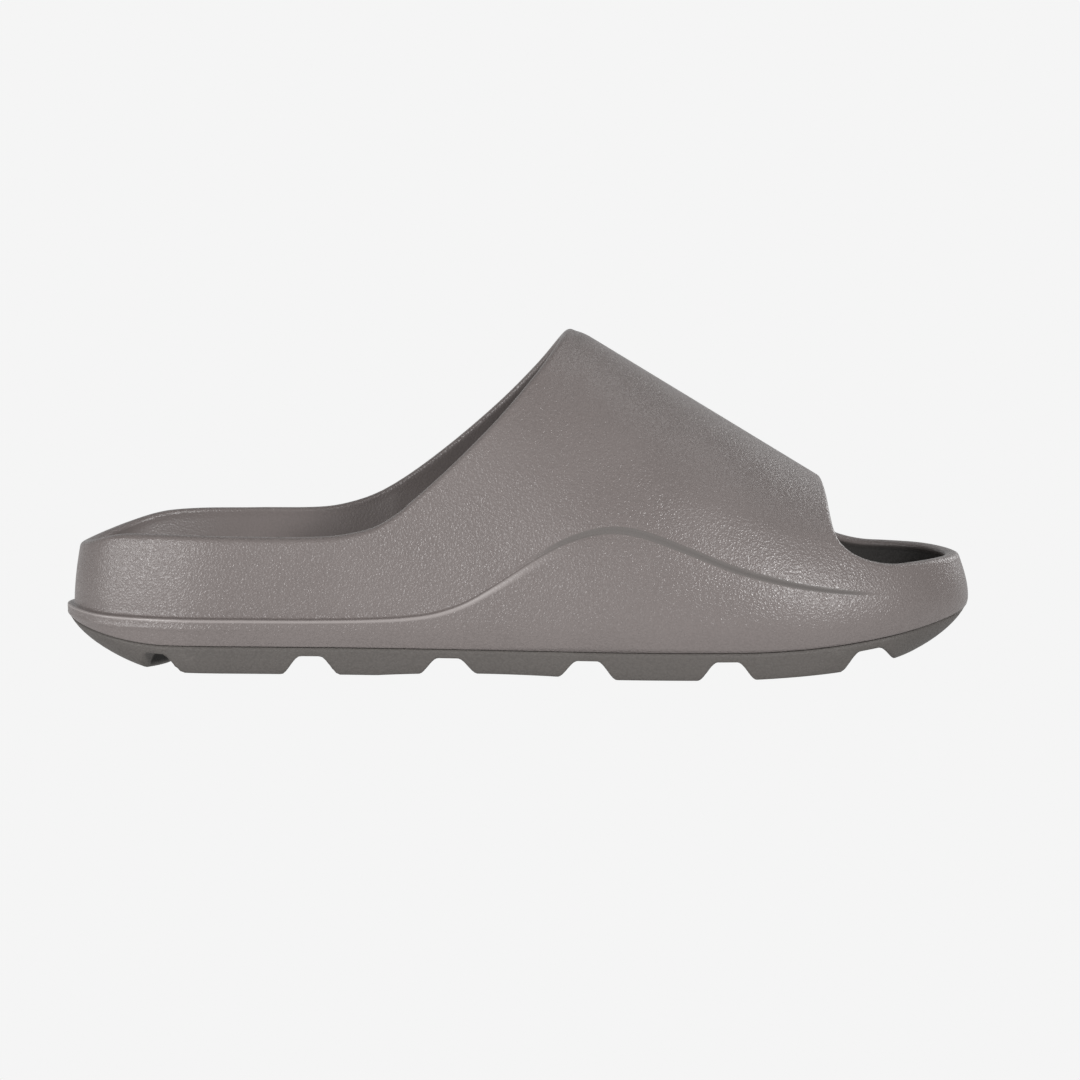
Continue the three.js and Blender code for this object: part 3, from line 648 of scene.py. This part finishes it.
def upper_skin(form):
    """Strap, side walls, rims and the floor under the insole, all one moulding."""
    stations = Stations(form, **UPPER_STATIONS)
    skin = Skin()
    spot, along, brink = stations.spot, stations.along, stations.brink()
    ledge = form.ledge_rise(along)
    wave = np.minimum(form.wave(along), brink - 2 * ledge)
    parting = form.parting(along)
    top = wave + ledge
    heights = [parting + (wave - parting) * r for r in np.linspace(0, 1, LOWER_ROWS + 1)]
    heights += [wave + ledge * r for r in np.linspace(0, 1, LEDGE_ROWS + 1)[1:]]
    heights += [top + (brink - top) * r for r in np.linspace(0, 1, WALL_ROWS + 1)[1:]]
    row = np.arange(len(heights)) - LOWER_ROWS
    # rows of the wave band's painted shade and of the ledge edge's painted highlight, both with less
    # grain
    band = (row >= 2) & (row <= LEDGE_ROWS)
    edge = (row >= -1) & (row <= 2)
    overhang = after(along, *BAND_START) * before(along, *BAND_END)
    outer = skin.add(
        np.stack([form.on_wall(spot, h) for h in heights], 1),
        band=overhang[:, None] * band,
        edge=before(along, *EDGE_END)[:, None] * edge,
    )
    skin.faces(outer, closed=True)

    foot, top = wall_foot(form, stations), wall_top(form, stations)
    lip = between(foot, top, insole_edge(form, stations))
    inner_rows = [top + (lip - top) * r for r in np.linspace(0, 1, INNER_ROWS + 1)] + [foot]
    inner = skin.add(np.stack(inner_rows, 1), inside=1.0)
    skin.faces(inner, closed=True)

    def floor(points, t):
        return form.floor(form.along(points[..., 0]))

    def base(points, t):
        return form.parting(form.along(points[..., 0]))

    bridge(skin, stations, inner[:, -1], floor, FLOOR_STEPS, False)
    bridge(skin, stations, outer[:, 0], base, BASE_STEPS, True)

    across = np.linspace(0, 1, STRAP_ARCS + 1)[1:-1]
    rear, front = form.strap_rear(across), form.strap_front(across)
    steps = stations.end - stations.start
    side = np.arange(stations.start, stations.end + 1)
    shares = np.arange(steps + 1) / steps
    section = rear + (front - rear) * shares[:, None]
    spread_out = np.broadcast_to(across, section.shape).ravel()
    hull = form.hull(section.ravel(), spread_out)
    thickness = np.repeat(strap_thickness(form.s, shares), len(across))[:, None]
    lining = hull - form.hull_normal(section.ravel(), spread_out) * thickness
    far = stations.opposite[side]

    def strap(points, edge, inside):
        ids = skin.add(points.reshape(*section.shape, 3), inside=inside)
        return np.concatenate([edge[side][:, None], ids, edge[far][:, None]], 1)

    over = strap(hull, outer[:, -1], 0.0)
    under = strap(lining, inner[:, 0], 1.0)
    skin.faces(over)
    skin.faces(under, flipped=True)

    collar_side = np.arange(-stations.start, stations.start + 1)
    toe_side = np.arange(stations.end, stations.count - stations.end + 1)
    for around, over_edge, under_edge in (
        (collar_side, over[0, 1:-1], under[0, 1:-1]),
        (toe_side, over[-1, 1:-1][::-1], under[-1, 1:-1][::-1]),
    ):
        outside = np.concatenate([outer[around, -1], over_edge])
        inside = np.concatenate([inner[around, 0], under_edge])
        rolled(skin, outside, inside, form.s.rim_rise, RIM_STEPS)
    # Painted shade on the inner walls, the strap's lining and the rims' inner sides, darker towards the
    # toe
    x = np.concatenate(skin.points)[:, 0]
    painted_shade_ramp = smooth((x - SHADE_START) / SHADE_LENGTH)
    skin.marks["shade"] = [np.concatenate(skin.marks["inside"]) * painted_shade_ramp]
    return skin


def groove_depth(form, x, y):
    """The underside's height from the floor, with its cross grooves."""
    s = form.s
    under = form.ground(form.along(x))
    for i in range(s.groove_count):
        middle = (i - (s.groove_count - 1) / 2) * s.groove_pitch
        if i == 0:
            across = 1 - (2 * y / s.heel_width) ** 2
            middle = middle + s.heel_groove_shift + s.heel_groove_bulge * np.maximum(across, 0)
        if i == s.groove_count - 1:
            middle += s.toe_groove_shift
            under = under + s.toe_lug_lift * smooth((x - middle) / s.groove_top_width)
        off = np.abs(x - middle)
        ceiling = form.parting(form.along(x)) - s.gap - s.groove_web
        half, top = s.groove_width / 2, s.groove_top_width / 2
        flank = np.clip((half - off) / (half - top), 0, 1)
        cut = (ceiling - under) * smooth(flank) ** GROOVE_FULLNESS
        under = np.maximum(under, under + cut)
    return under


def outsole_skin(form):
    """The tread layer under the body, with bevelled ends and rounded lugs."""
    stations = Stations(form, **OUTSOLE_STATIONS)
    skin = Skin()
    s = form.s
    point, inward, along = stations.spot
    parting = form.parting(along)
    inset = form.inset(along, parting)
    top = point + inward * (inset + s.outsole_setback)[:, None]
    top = with_height(top, form.parting(form.along(top[:, 0])) - s.gap)
    heel_end = fade(along * s.length, s.bevel_reach, BEVEL_TURN)
    toe_end = fade((1 - along) * s.length, s.bevel_reach, BEVEL_TURN)
    end = np.maximum(heel_end, toe_end)[:, None]
    low = point + inward * (inset + s.outsole_tuck)[:, None]
    low[:, 0] += s.heel_bevel_setback * heel_end - s.toe_bevel_setback * toe_end
    low = with_height(low, form.ground(form.along(low[:, 0])))
    corner_in, corner_up = (middle + (ends - middle) * end for middle, ends in (CORNER_IN, CORNER_UP))
    corner = top + (low - top) * corner_in
    corner[:, 2] = low[:, 2] + (top[:, 2] - low[:, 2]) * corner_up[:, 0]
    rows = []
    for t in np.linspace(0, 1, OUTSOLE_ROWS + 1):
        row = low * (1 - t) ** 2 + corner * 2 * t * (1 - t) + top * t * t
        ceiling = groove_depth(form, row[:, 0], row[:, 1])
        row[:, 2] = np.maximum(row[:, 2], np.minimum(ceiling, top[:, 2] - s.gap))
        rows.append(row)
    side = skin.add(np.stack(rows, 1))
    skin.faces(side, closed=True)

    def seat(points, t):
        return form.parting(form.along(points[..., 0])) - s.gap

    def tread(points, t):
        return groove_depth(form, points[..., 0], points[..., 1])

    # painted shade in the grooves, growing with height above the floor
    def painted_groove_shade(points):
        rise = points[..., 2] - form.ground(form.along(points[..., 0]))
        return smooth(rise / GROOVE_DARK - 1)

    bridge(skin, stations, side[:, -1], seat, SEAT_STEPS, False)
    bridge(skin, stations, side[:, 0], tread, TREAD_STEPS, True, painted_groove_shade)
    return skin


def insole_skin(form):
    """The liner that lies on the upper's floor, its edge raised into a shallow cup."""
    stations = Stations(form, **UPPER_STATIONS)
    skin = Skin()
    s = form.s
    foot, top = wall_foot(form, stations), wall_top(form, stations)
    inward = with_height(stations.spot[1], np.zeros(stations.count))
    shift = inward * s.insole_side_gap
    edge_height = insole_edge(form, stations)
    low = foot + shift
    low[:, 2] = form.floor(form.along(low[:, 0])) + s.gap
    high = between(foot, top, edge_height) + shift
    shoulder = high.copy()
    shoulder[:, 2] -= INSOLE_EDGE
    rounded = high + inward * INSOLE_EDGE * INSOLE_EDGE_CUT
    rounded[:, 2] -= INSOLE_EDGE * INSOLE_EDGE_CUT
    crest = high + inward * INSOLE_EDGE
    side = skin.add(np.stack([low, shoulder, rounded, crest], 1))
    skin.faces(side, closed=True)
    bed_height = form.footbed(stations.along[stations.outer_side])
    cup = edge_height[stations.outer_side] - bed_height
    far_cup = edge_height[stations.arch_side] - bed_height

    def bed(points, t):
        rise = np.where(t < 0.5, cup[:, None], far_cup[:, None])
        return form.footbed(form.along(points[..., 0])) + rise * np.abs(2 * t - 1) ** CUP_POWER

    def under(points, t):
        return form.floor(form.along(points[..., 0])) + s.gap

    bridge(skin, stations, side[:, -1], bed, BED_STEPS, False)
    bridge(skin, stations, side[:, 0], under, SEAT_STEPS, True)
    return skin


def length(name, millimetres, description):
    """A length that a user may change."""
    return bpy.props.FloatProperty(
        name=name, description=description, default=millimetres * MM, unit="LENGTH", precision=5
    )


def colour(name, red, green, blue, description):
    """A colour that a user may change."""
    return bpy.props.FloatVectorProperty(
        name=name,
        description=description,
        default=(red, green, blue),
        size=3,
        min=0,
        max=1,
        subtype="COLOR",
    )


class SandalSizes(bpy.types.PropertyGroup):
    """Sizes of the sandal."""

    length: length("Length", 290, "Heel end to toe end")
    ball_width: length("Ball width", 108, "Widest part")
    waist_width: length("Waist width", 82, "Narrow part under the arch")
    heel_width: length("Heel width", 77, "Widest part of the heel")
    instep_height: length("Instep height", 108, "Floor to the strap's highest point")
    instep_place: length("Instep place", 163, "Heel end to the strap's highest point")
    ridge_slope: bpy.props.FloatProperty(
        name="Ridge slope", description="Fall of the ridge towards the toe", default=0.607
    )
    ridge_offset: length("Ridge offset", 4, "How far the ridge lies to the arch side")
    crown_drop: length("Crown drop", 1.1, "How much the ridge's rear end is rounded off")
    crown_length: length("Crown length", 5.5, "Length of that rounding")
    throat_skew: length("Throat skew", 3, "How far back the strap's front edge is at its arch foot")
    throat_height: length("Throat height", 61, "Top of the strap's front edge")
    collar_height: length("Collar height", 43.4, "Floor to the rim beside the heel")
    arch_collar_rise: length("Arch collar rise", 3.2, "How much higher the arch side's rim is")
    toe_rim_height: length("Toe rim height", 35.2, "Floor to the rim in front of the toes")
    wave_low: length("Wave, low", 17.2, "Height of the wave line at the heel")
    wave_high: length("Wave, high", 46.6, "Height of the wave line at its crest")
    heel_footbed_height: length("Footbed at heel", 24, "Floor to the top of the insole")
    ball_footbed_height: length("Footbed at ball", 20, "Floor to the top of the insole")
    strap_wall: length("Strap wall", 5.6, "Thickness of the strap")
    rim_wall: length("Rim wall", 4.6, "Thickness of the rims")
    rim_rise: length("Rim rise", 2.1, "Height of the rounding over a rim")
    floor_wall: length("Floor wall", 10.5, "Widest outline to the foot of the inner wall")
    wave_step: length("Wave step", 2.2, "How far the side steps at the wave line")
    ledge_rise: length("Ledge rise", 1.4, "Height over which the step is made")
    wave_line_depth: length("Wave line depth", 0.3, "Depth of the line sunk along the wave")
    heel_bend_height: length("Heel bend height", 0.3, "Height of the soft ridge under the ledge")
    heel_bend_width: length("Heel bend width", 0.7, "Half the width of that ridge")
    heel_bend_drop: length("Heel bend drop", 2.7, "How far under the ledge it runs")
    side_tuck: length("Side tuck", 2.4, "How far the side pulls in to the outsole")
    strap_lean: length("Strap lean", 13, "How far in the strap begins")
    outsole_height: length("Outsole height", 9, "Height of the parting line")
    heel_parting_rise: length("Heel parting rise", 6.4, "Upturn of the parting line")
    heel_parting_length: length("Heel parting length", 34, "Length of that upturn")
    toe_parting_rise: length("Toe parting rise", 9.8, "Upturn of the parting line")
    toe_parting_length: length("Toe parting length", 80, "Length of that upturn")
    heel_bevel_rise: length("Heel bevel rise", 5, "Lift of the tread at the heel")
    heel_bevel_length: length("Heel bevel length", 42, "Length of that lift")
    arch_rise: length("Arch rise", 1.1, "Height of the waist off the floor")
    arch_middle: length("Arch middle", 136, "Distance from the heel end")
    arch_length: length("Arch length", 70, "Length of the raised waist")
    toe_spring: length("Toe spring", 7.5, "Lift of the tread at the toe")
    toe_spring_length: length("Toe spring length", 87, "Length of that lift")
    heel_bevel_setback: length("Heel setback", 20, "Tread's distance from the heel end")
    toe_bevel_setback: length("Toe setback", 18, "Tread's distance from the toe end")
    bevel_reach: length("Bevel reach", 58, "Where the setbacks fade out")
    outsole_tuck: length("Outsole tuck", 3, "How far its side leans in")
    outsole_setback: length("Outsole setback", 0.4, "Its top edge, inside the body's")
    groove_count: bpy.props.IntProperty(
        name="Grooves", description="Number of cross grooves", default=6
    )
    groove_pitch: length("Groove pitch", 43.2, "Distance between grooves")
    groove_width: length("Groove width", 18.2, "Width at the floor")
    groove_top_width: length("Groove top width", 6.0, "Width at the ceiling")
    groove_web: length("Groove web", 2.7, "Outsole left above a groove")
    heel_groove_bulge: length("Heel groove bulge", 18, "How far it curves to the toe")
    toe_lug_lift: length("Toe lug lift", 0.9, "How far the foremost lug stays off the floor's curve")
    heel_groove_shift: length("Heel groove shift", -12, "First groove's distance from pitch")
    toe_groove_shift: length("Toe groove shift", 1.4, "Last groove's distance from pitch")
    insole_thickness: length("Insole thickness", 4, "Thickness of the liner")
    heel_cup: length("Heel cup", 2.4, "Height of the insole's edge")
    gap: length("Gap", 0.3, "Space between pieces that meet")
    insole_side_gap: length("Insole side gap", 0.8, "Space round the insole")


class SandalColours(bpy.types.PropertyGroup):
    """Colours of the sandal and its studio."""

    foam: colour("Foam", 0.222, 0.194, 0.187, "Upper")
    foam_deep: colour("Foam, deep", 0.19, 0.165, 0.158, "Hollows of the upper's grain")
    tread: colour("Tread", 0.122, 0.111, 0.103, "Outsole")
    bed: colour("Footbed", 0.2, 0.175, 0.168, "Insole")
    # painted shade: the wave band's down-facing step is painted darker as if in shadow, and its grain is
    # smoothed
    band: colour("Wave band", 0.168, 0.153, 0.146, "Smooth band along the wave")
    # painted highlight: a lighter line along the ledge's top edge, standing in for the light it catches
    edge: colour("Ledge edge", 0.36, 0.325, 0.315, "Rubbed edge of the ledge")
    # painted shade: the colour of the shadow painted in the tread's grooves
    groove: colour("Groove", 0.03, 0.028, 0.026, "Dirt in the tread's grooves")
    # painted shade: the colour of the shadow painted on the upper's inner walls, darkest towards the toe
    inside: colour("Inside", 0.038, 0.035, 0.033, "Upper's inner walls, dulled by wear")
    dust: colour("Dust", 0.42, 0.39, 0.37, "Pale dust in the faint rubs")
    floor: colour("Floor", 0.913, 0.913, 0.913, "Studio floor as the camera sees it")
    paper: colour("Paper", 0.55, 0.55, 0.55, "What the studio floor throws back")


def sizes():
    return bpy.context.scene.sandal_sizes


def colours():
    return bpy.context.scene.sandal_colours


class Nodes:
    """Short ways to add and join nodes in one tree."""

    def __init__(self, tree):
        self.tree = tree
        tree.nodes.clear()

    def add(self, kind, inputs=None, **settings):
        node = self.tree.nodes.new(kind)
        for key, value in settings.items():
            setattr(node, key, value)
        for key, value in (inputs or {}).items():
            if isinstance(value, bpy.types.NodeSocket):
                self.tree.links.new(value, node.inputs[key])
            else:
                node.inputs[key].default_value = value
        return node

    def link(self, source, target):
        self.tree.links.new(source, target)

    def math(self, operation, a, b=0.0):
        return self.add("ShaderNodeMath", {0: a, 1: b}, operation=operation).outputs[0]

    def mix(self, share, a, b):
        node = self.add("ShaderNodeMix", data_type="RGBA")
        for socket, value in zip((node.inputs[0], node.inputs[6], node.inputs[7]), (share, a, b)):
            if isinstance(value, bpy.types.NodeSocket):
                self.link(value, socket)
            else:
                socket.default_value = value
        return node.outputs[2]

    def ramp(self, value, low, high):
        inputs = {"Value": value, "From Min": low, "From Max": high}
        return self.add("ShaderNodeMapRange", inputs).outputs[0]

    def noise(self, vector, scale, **inputs):
        return self.add("ShaderNodeTexNoise", {"Vector": vector, "Scale": scale, **inputs}).outputs

    def vector(self, operation, a, b, socket=1):
        inputs = {0: a, socket: b}
        return self.add("ShaderNodeVectorMath", inputs, operation=operation).outputs[0]

    def mark(self, name):
        return self.add("ShaderNodeAttribute", attribute_name=name).outputs["Fac"]


def group(name, inputs, outputs):
    """A new shader node group with named number sockets."""
    tree = bpy.data.node_groups.new(name, "ShaderNodeTree")
    for label, kind, default in inputs:
        socket = tree.interface.new_socket(label, in_out="INPUT", socket_type=kind)
        if default is not None:
            socket.default_value = default
    for label, kind in outputs:
        tree.interface.new_socket(label, in_out="OUTPUT", socket_type=kind)
    nodes = Nodes(tree)
    return tree, nodes, nodes.add("NodeGroupInput"), nodes.add("NodeGroupOutput")


NUMBER = "NodeSocketFloat"
FOLD_SHARE = 0.25  # share of the grain's height that its fine creases make


def grain_group():
    """Moulded leather-like grain: small uneven pebbles with fine creases between them."""
    tree, n, inside, out = group(
        "Pebbled grain",
        [("Scale", NUMBER, 1000.0), ("Wander", NUMBER, 0.5)],
        [("Height", NUMBER), ("Hollows", NUMBER)],
    )
    at = n.add("ShaderNodeTexCoord").outputs["Object"]
    scale, wander = inside.outputs[:2]
    drift = n.noise(at, n.math("MULTIPLY", scale, 0.5), Detail=2.0)["Color"]
    drift = n.vector("SUBTRACT", drift, (0.5, 0.5, 0.5))
    drift = n.vector("SCALE", drift, n.math("MULTIPLY", wander, 2 * MM), "Scale")
    moved = n.vector("ADD", at, drift)
    pebbles = n.add(
        "ShaderNodeTexVoronoi",
        {"Vector": moved, "Scale": scale, "Smoothness": 0.6},
        feature="SMOOTH_F1",
    )
    creases = n.noise(moved, n.math("MULTIPLY", scale, 2.0), Detail=1.0, Roughness=0.5)
    dome = n.ramp(pebbles.outputs["Distance"], 0.75, 0.1)
    fold = n.ramp(creases["Fac"], 0.3, 0.7)
    pebbled = n.math("MULTIPLY", dome, 1 - FOLD_SHARE)
    height = n.math("ADD", pebbled, n.math("MULTIPLY", fold, FOLD_SHARE))
    n.link(height, out.inputs["Height"])
    n.link(n.ramp(height, 0.55, 0.2), out.inputs["Hollows"])
    return tree


def mottle_group():
    """Slow uneven tone, as in moulded foam, and scattered faint rubs."""
    tree, n, inside, out = group(
        "Foam mottle",
        [("Scale", NUMBER, 30.0), ("Rub", NUMBER, 0.5)],
        [("Tone", NUMBER), ("Rubs", NUMBER)],
    )
    at = n.add("ShaderNodeTexCoord").outputs["Object"]
    scale, rub = inside.outputs[:2]
    n.link(n.noise(at, scale, Detail=3.0)["Fac"], out.inputs["Tone"])
    stretched = n.add("ShaderNodeMapping", {"Vector": at, "Scale": (1.0, 1.0, 5.0)}).outputs[0]
    marks = n.noise(stretched, n.math("MULTIPLY", scale, 2.5), Detail=5.0, Roughness=0.7)
    n.link(n.math("MULTIPLY", n.ramp(marks["Fac"], 0.62, 0.78), rub), out.inputs["Rubs"])
    return tree


def opaque(rgb):
    """A colour with an alpha of 1."""
    return (*rgb, 1.0)


# How the foam's tone and gloss vary
HOLLOW_TONE = 0.8  # how far the grain's hollows take the deep colour
PALE = 1.06  # the pale patches are this much lighter than the main colour
PALE_SHARE = 0.5
DEEP = 0.85  # deep colour of the tread and footbed, as a share of the main one
HOLLOW_ROUGHNESS = 0.12  # added in the hollows
PATCH_ROUGHNESS = 0.06  # in the pale patches
SHADE_ROUGHNESS = 0.4  # and where shade is painted
INSIDE_SMOOTHNESS = 0.75  # how far the inner walls are smoothed, as a share of the band
SMOOTHED = 0.9  # how much of the grain's height the band and the ledge's edge lose


def foam_material(name, main, deep, grain_scale, relief, roughness, shade_colour=None, dust=0.0):
    """Moulded foam or soft rubber with pebbled grain; where the mesh is marked, painted shade on inner
    walls, in grooves and on the wave band, and a painted highlight on the ledge's edge.
    """
    material = bpy.data.materials.new(name)
    material.use_nodes = True
    n = Nodes(material.node_tree)
    groups = bpy.data.node_groups
    grain = n.add("ShaderNodeGroup", {"Scale": grain_scale}, node_tree=groups["Pebbled grain"])
    mottle = n.add("ShaderNodeGroup", {"Rub": 1.0}, node_tree=groups["Foam mottle"])
    hollows, patches = grain.outputs["Hollows"], mottle.outputs["Tone"]
    tone = n.mix(n.math("MULTIPLY", hollows, HOLLOW_TONE), opaque(main), opaque(deep))
    pale = n.math("MULTIPLY", n.ramp(patches, 0.4, 0.7), PALE_SHARE)
    tone = n.mix(pale, tone, opaque([c * PALE for c in main]))
    tone = n.mix(n.math("MULTIPLY", mottle.outputs["Rubs"], dust), tone, opaque(colours().dust))
    rough = n.math("ADD", n.math("MULTIPLY", hollows, HOLLOW_ROUGHNESS), roughness)
    patchy = n.math("MULTIPLY", n.ramp(patches, 0.3, 0.7), PATCH_ROUGHNESS)
    rough = n.math("ADD", rough, patchy)
    strength = 1.0
    if shade_colour:
        inside, shade, band, edge = (n.mark(mark) for mark in ("inside", "shade", "band", "edge"))
        # painted shade on inner walls and in grooves, painted shade on the wave band, painted highlight
        # on the ledge's edge
        tone = n.mix(shade, tone, opaque(shade_colour))
        tone = n.mix(band, tone, opaque(colours().band))
        tone = n.mix(edge, tone, opaque(colours().edge))
        inner = n.math("MULTIPLY", inside, INSIDE_SMOOTHNESS)
        plain = n.math("MAXIMUM", n.math("MAXIMUM", band, edge), inner)
        strength = n.math("SUBTRACT", 1.0, n.math("MULTIPLY", plain, SMOOTHED))
        rough = n.math("ADD", rough, n.math("MULTIPLY", shade, SHADE_ROUGHNESS))
    bump = n.add(
        "ShaderNodeBump",
        {"Height": grain.outputs["Height"], "Distance": relief, "Strength": strength},
    )
    shader = n.add(
        "ShaderNodeBsdfPrincipled",
        {"Base Color": tone, "Roughness": rough, "Normal": bump.outputs[0]},
    )
    out = n.add("ShaderNodeOutputMaterial")
    n.link(shader.outputs[0], out.inputs["Surface"])
    return material


def effect_groups():
    """Makes the shared effects before the first piece that needs them."""
    if "Pebbled grain" not in bpy.data.node_groups:
        grain_group()
        mottle_group()


def fit(piece, material, node):
    """The piece takes its material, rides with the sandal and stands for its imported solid."""
    piece.data.materials.append(material)
    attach(piece, BODY)
    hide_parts(node)


class SANDAL_OT_upper(bpy.types.Operator):
    """Build the foam upper: strap, side walls, rolled rims and floor in one moulding"""

    bl_idname = "sandal.upper"
    bl_label = "Upper"

    def execute(self, context):
        effect_groups()
        c = colours()
        piece = upper_skin(Form(sizes())).built("foam_upper")
        finish = {"grain_scale": 1400.0, "relief": 0.13 * MM, "roughness": 0.24}
        # the Inside colour is painted on the inner walls as shade
        foam = foam_material("Foam", c.foam, c.foam_deep, **finish, shade_colour=c.inside)
        fit(piece, foam, "upper")
        return {"FINISHED"}


class SANDAL_OT_outsole(bpy.types.Operator):
    """Build the grooved outsole"""

    bl_idname = "sandal.outsole"
    bl_label = "Outsole"

    def execute(self, context):
        effect_groups()
        c = colours()
        piece = outsole_skin(Form(sizes())).built("grooved_outsole")
        deep = [v * DEEP for v in c.tread]
        finish = {"grain_scale": 1300.0, "relief": 0.12 * MM, "roughness": 0.55, "dust": 0.2}
        # the Groove colour is painted in the grooves as shade
        rubber = foam_material("Tread rubber", c.tread, deep, **finish, shade_colour=c.groove)
        fit(piece, rubber, "outsole")
        return {"FINISHED"}


class SANDAL_OT_insole(bpy.types.Operator):
    """Build the footbed liner"""

    bl_idname = "sandal.insole"
    bl_label = "Insole"

    def execute(self, context):
        effect_groups()
        c = colours()
        piece = insole_skin(Form(sizes())).built("footbed_insole")
        deep = [v * DEEP for v in c.bed]
        finish = {"grain_scale": 900.0, "relief": 0.2 * MM, "roughness": 0.55, "dust": 0.06}
        bed = foam_material("Footbed foam", c.bed, deep, **finish)
        fit(piece, bed, "insole")
        return {"FINISHED"}


LAMPS = (
    # name, place from the object, width, height, watts
    ("Left softbox", (-1.6, -0.5, 0.3), 0.5, 0.6, 8.0),
    ("Left front softbox", (-1.15, -1.3, 0.35), 0.3, 0.3, 11.0),
    ("Right front softbox", (0.95, -1.25, 0.6), 0.3, 0.3, 16.5),
    ("Overhead softbox", (0.5, 0.3, 1.3), 0.8, 0.5, 2.5),
    ("Right rear softbox", (1.1, 1.1, 0.6), 0.6, 0.6, 4.0),
)
SKY_STRENGTH = 0.01
LENS_MM = 114.1
SENSOR_MM = 36.0
CAMERA_DISTANCE = 1.1
CAMERA_ELEVATION = math.radians(6)
CAMERA_ASIDE = 0.007
CAMERA_DROP = -0.0113
LOOK_HEIGHT = 0.05


class SANDAL_OT_stage(bpy.types.Operator):
    """Build the pale floor, the soft studio light and the camera"""

    bl_idname = "sandal.stage"
    bl_label = "Stage"

    def execute(self, context):
        scene = context.scene
        scene.view_settings.view_transform = "Standard"
        self.floor(scene)
        self.sky(scene)
        for name, place, width, height, watts in LAMPS:
            light = bpy.data.lights.new(name, "AREA")
            light.shape = "RECTANGLE"
            light.size, light.size_y, light.energy = width, height, watts
            lamp = bpy.data.objects.new(name, light)
            lamp.location = place
            aim = Vector((0, 0, LOOK_HEIGHT)) - lamp.location
            lamp.rotation_euler = aim.to_track_quat("-Z", "Y").to_euler()
            scene.collection.objects.link(lamp)
        self.camera(scene)
        return {"FINISHED"}

    def floor(self, scene):
        reach, back, rise, bend = 4.0, 2.5, 3.0, 0.8
        turn = np.linspace(0, math.pi / 2, 16)
        profile = [(-reach, 0.0)]
        profile += [(back + bend * math.sin(a), bend * (1 - math.cos(a))) for a in turn]
        profile += [(back + bend, rise)]
        points = [(x, y, z) for y, z in profile for x in (-reach, reach)]
        faces = [(i, i + 1, i + 3, i + 2) for i in range(0, len(points) - 2, 2)]
        mesh = bpy.data.meshes.new("studio_floor")
        mesh.from_pydata(points, [], faces)
        mesh.shade_smooth()
        sweep = bpy.data.objects.new("studio_floor", mesh)
        scene.collection.objects.link(sweep)
        material = bpy.data.materials.new("Studio paper")
        material.use_nodes = True
        n = Nodes(material.node_tree)
        paper = n.add("ShaderNodeEmission", {"Color": opaque(colours().paper)})
        shown = n.add("ShaderNodeEmission", {"Color": opaque(colours().floor)})
        ray = n.add("ShaderNodeLightPath")
        mix = n.add("ShaderNodeMixShader")
        n.link(ray.outputs["Is Camera Ray"], mix.inputs[0])
        n.link(paper.outputs[0], mix.inputs[1])
        n.link(shown.outputs[0], mix.inputs[2])
        out = n.add("ShaderNodeOutputMaterial")
        n.link(mix.outputs[0], out.inputs["Surface"])
        mesh.materials.append(material)

    def sky(self, scene):
        world = bpy.data.worlds.new("Studio")
        world.use_nodes = True
        background = world.node_tree.nodes["Background"]
        background.inputs["Color"].default_value = (1, 1, 1, 1)
        background.inputs["Strength"].default_value = SKY_STRENGTH
        scene.world = world

    def camera(self, scene):
        data = bpy.data.cameras.new("Camera")
        data.lens, data.sensor_width = LENS_MM, SENSOR_MM
        camera = bpy.data.objects.new("Camera", data)
        up = Vector((0, math.sin(CAMERA_ELEVATION), math.cos(CAMERA_ELEVATION)))
        back = Vector((0, -math.cos(CAMERA_ELEVATION), math.sin(CAMERA_ELEVATION)))
        target = Vector((CAMERA_ASIDE, 0, LOOK_HEIGHT)) + up * CAMERA_DROP
        camera.location = target + back * CAMERA_DISTANCE
        camera.rotation_euler = (math.pi / 2 - CAMERA_ELEVATION, 0, 0)
        scene.collection.objects.link(camera)
        scene.camera = camera


class SANDAL_PT_panel(bpy.types.Panel):
    """The sandal's pieces, sizes and colours."""

    bl_label = "Foam slide sandal"
    bl_idname = "SANDAL_PT_panel"
    bl_space_type = "VIEW_3D"
    bl_region_type = "UI"
    bl_category = "Sandal"

    def draw(self, context):
        for operator in OPERATORS:
            self.layout.operator(operator.bl_idname)
        for settings in (sizes(), colours()):
            column = self.layout.column(align=True)
            for name in settings.__annotations__:
                column.prop(settings, name)


OPERATORS = (SANDAL_OT_upper, SANDAL_OT_outsole, SANDAL_OT_insole, SANDAL_OT_stage)
CLASSES = (SandalSizes, SandalColours, *OPERATORS, SANDAL_PT_panel)


def register():
    for cls in CLASSES:
        bpy.utils.register_class(cls)
    bpy.types.Scene.sandal_sizes = bpy.props.PointerProperty(type=SandalSizes)
    bpy.types.Scene.sandal_colours = bpy.props.PointerProperty(type=SandalColours)


def unregister():
    del bpy.types.Scene.sandal_colours
    del bpy.types.Scene.sandal_sizes
    for cls in reversed(CLASSES):
        bpy.utils.unregister_class(cls)


def main():
    register()
    bpy.ops.sandal.upper()
    bpy.ops.sandal.outsole()
    bpy.ops.sandal.insole()
    bpy.ops.sandal.stage()
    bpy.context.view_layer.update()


if __name__ == "__main__":
    main()
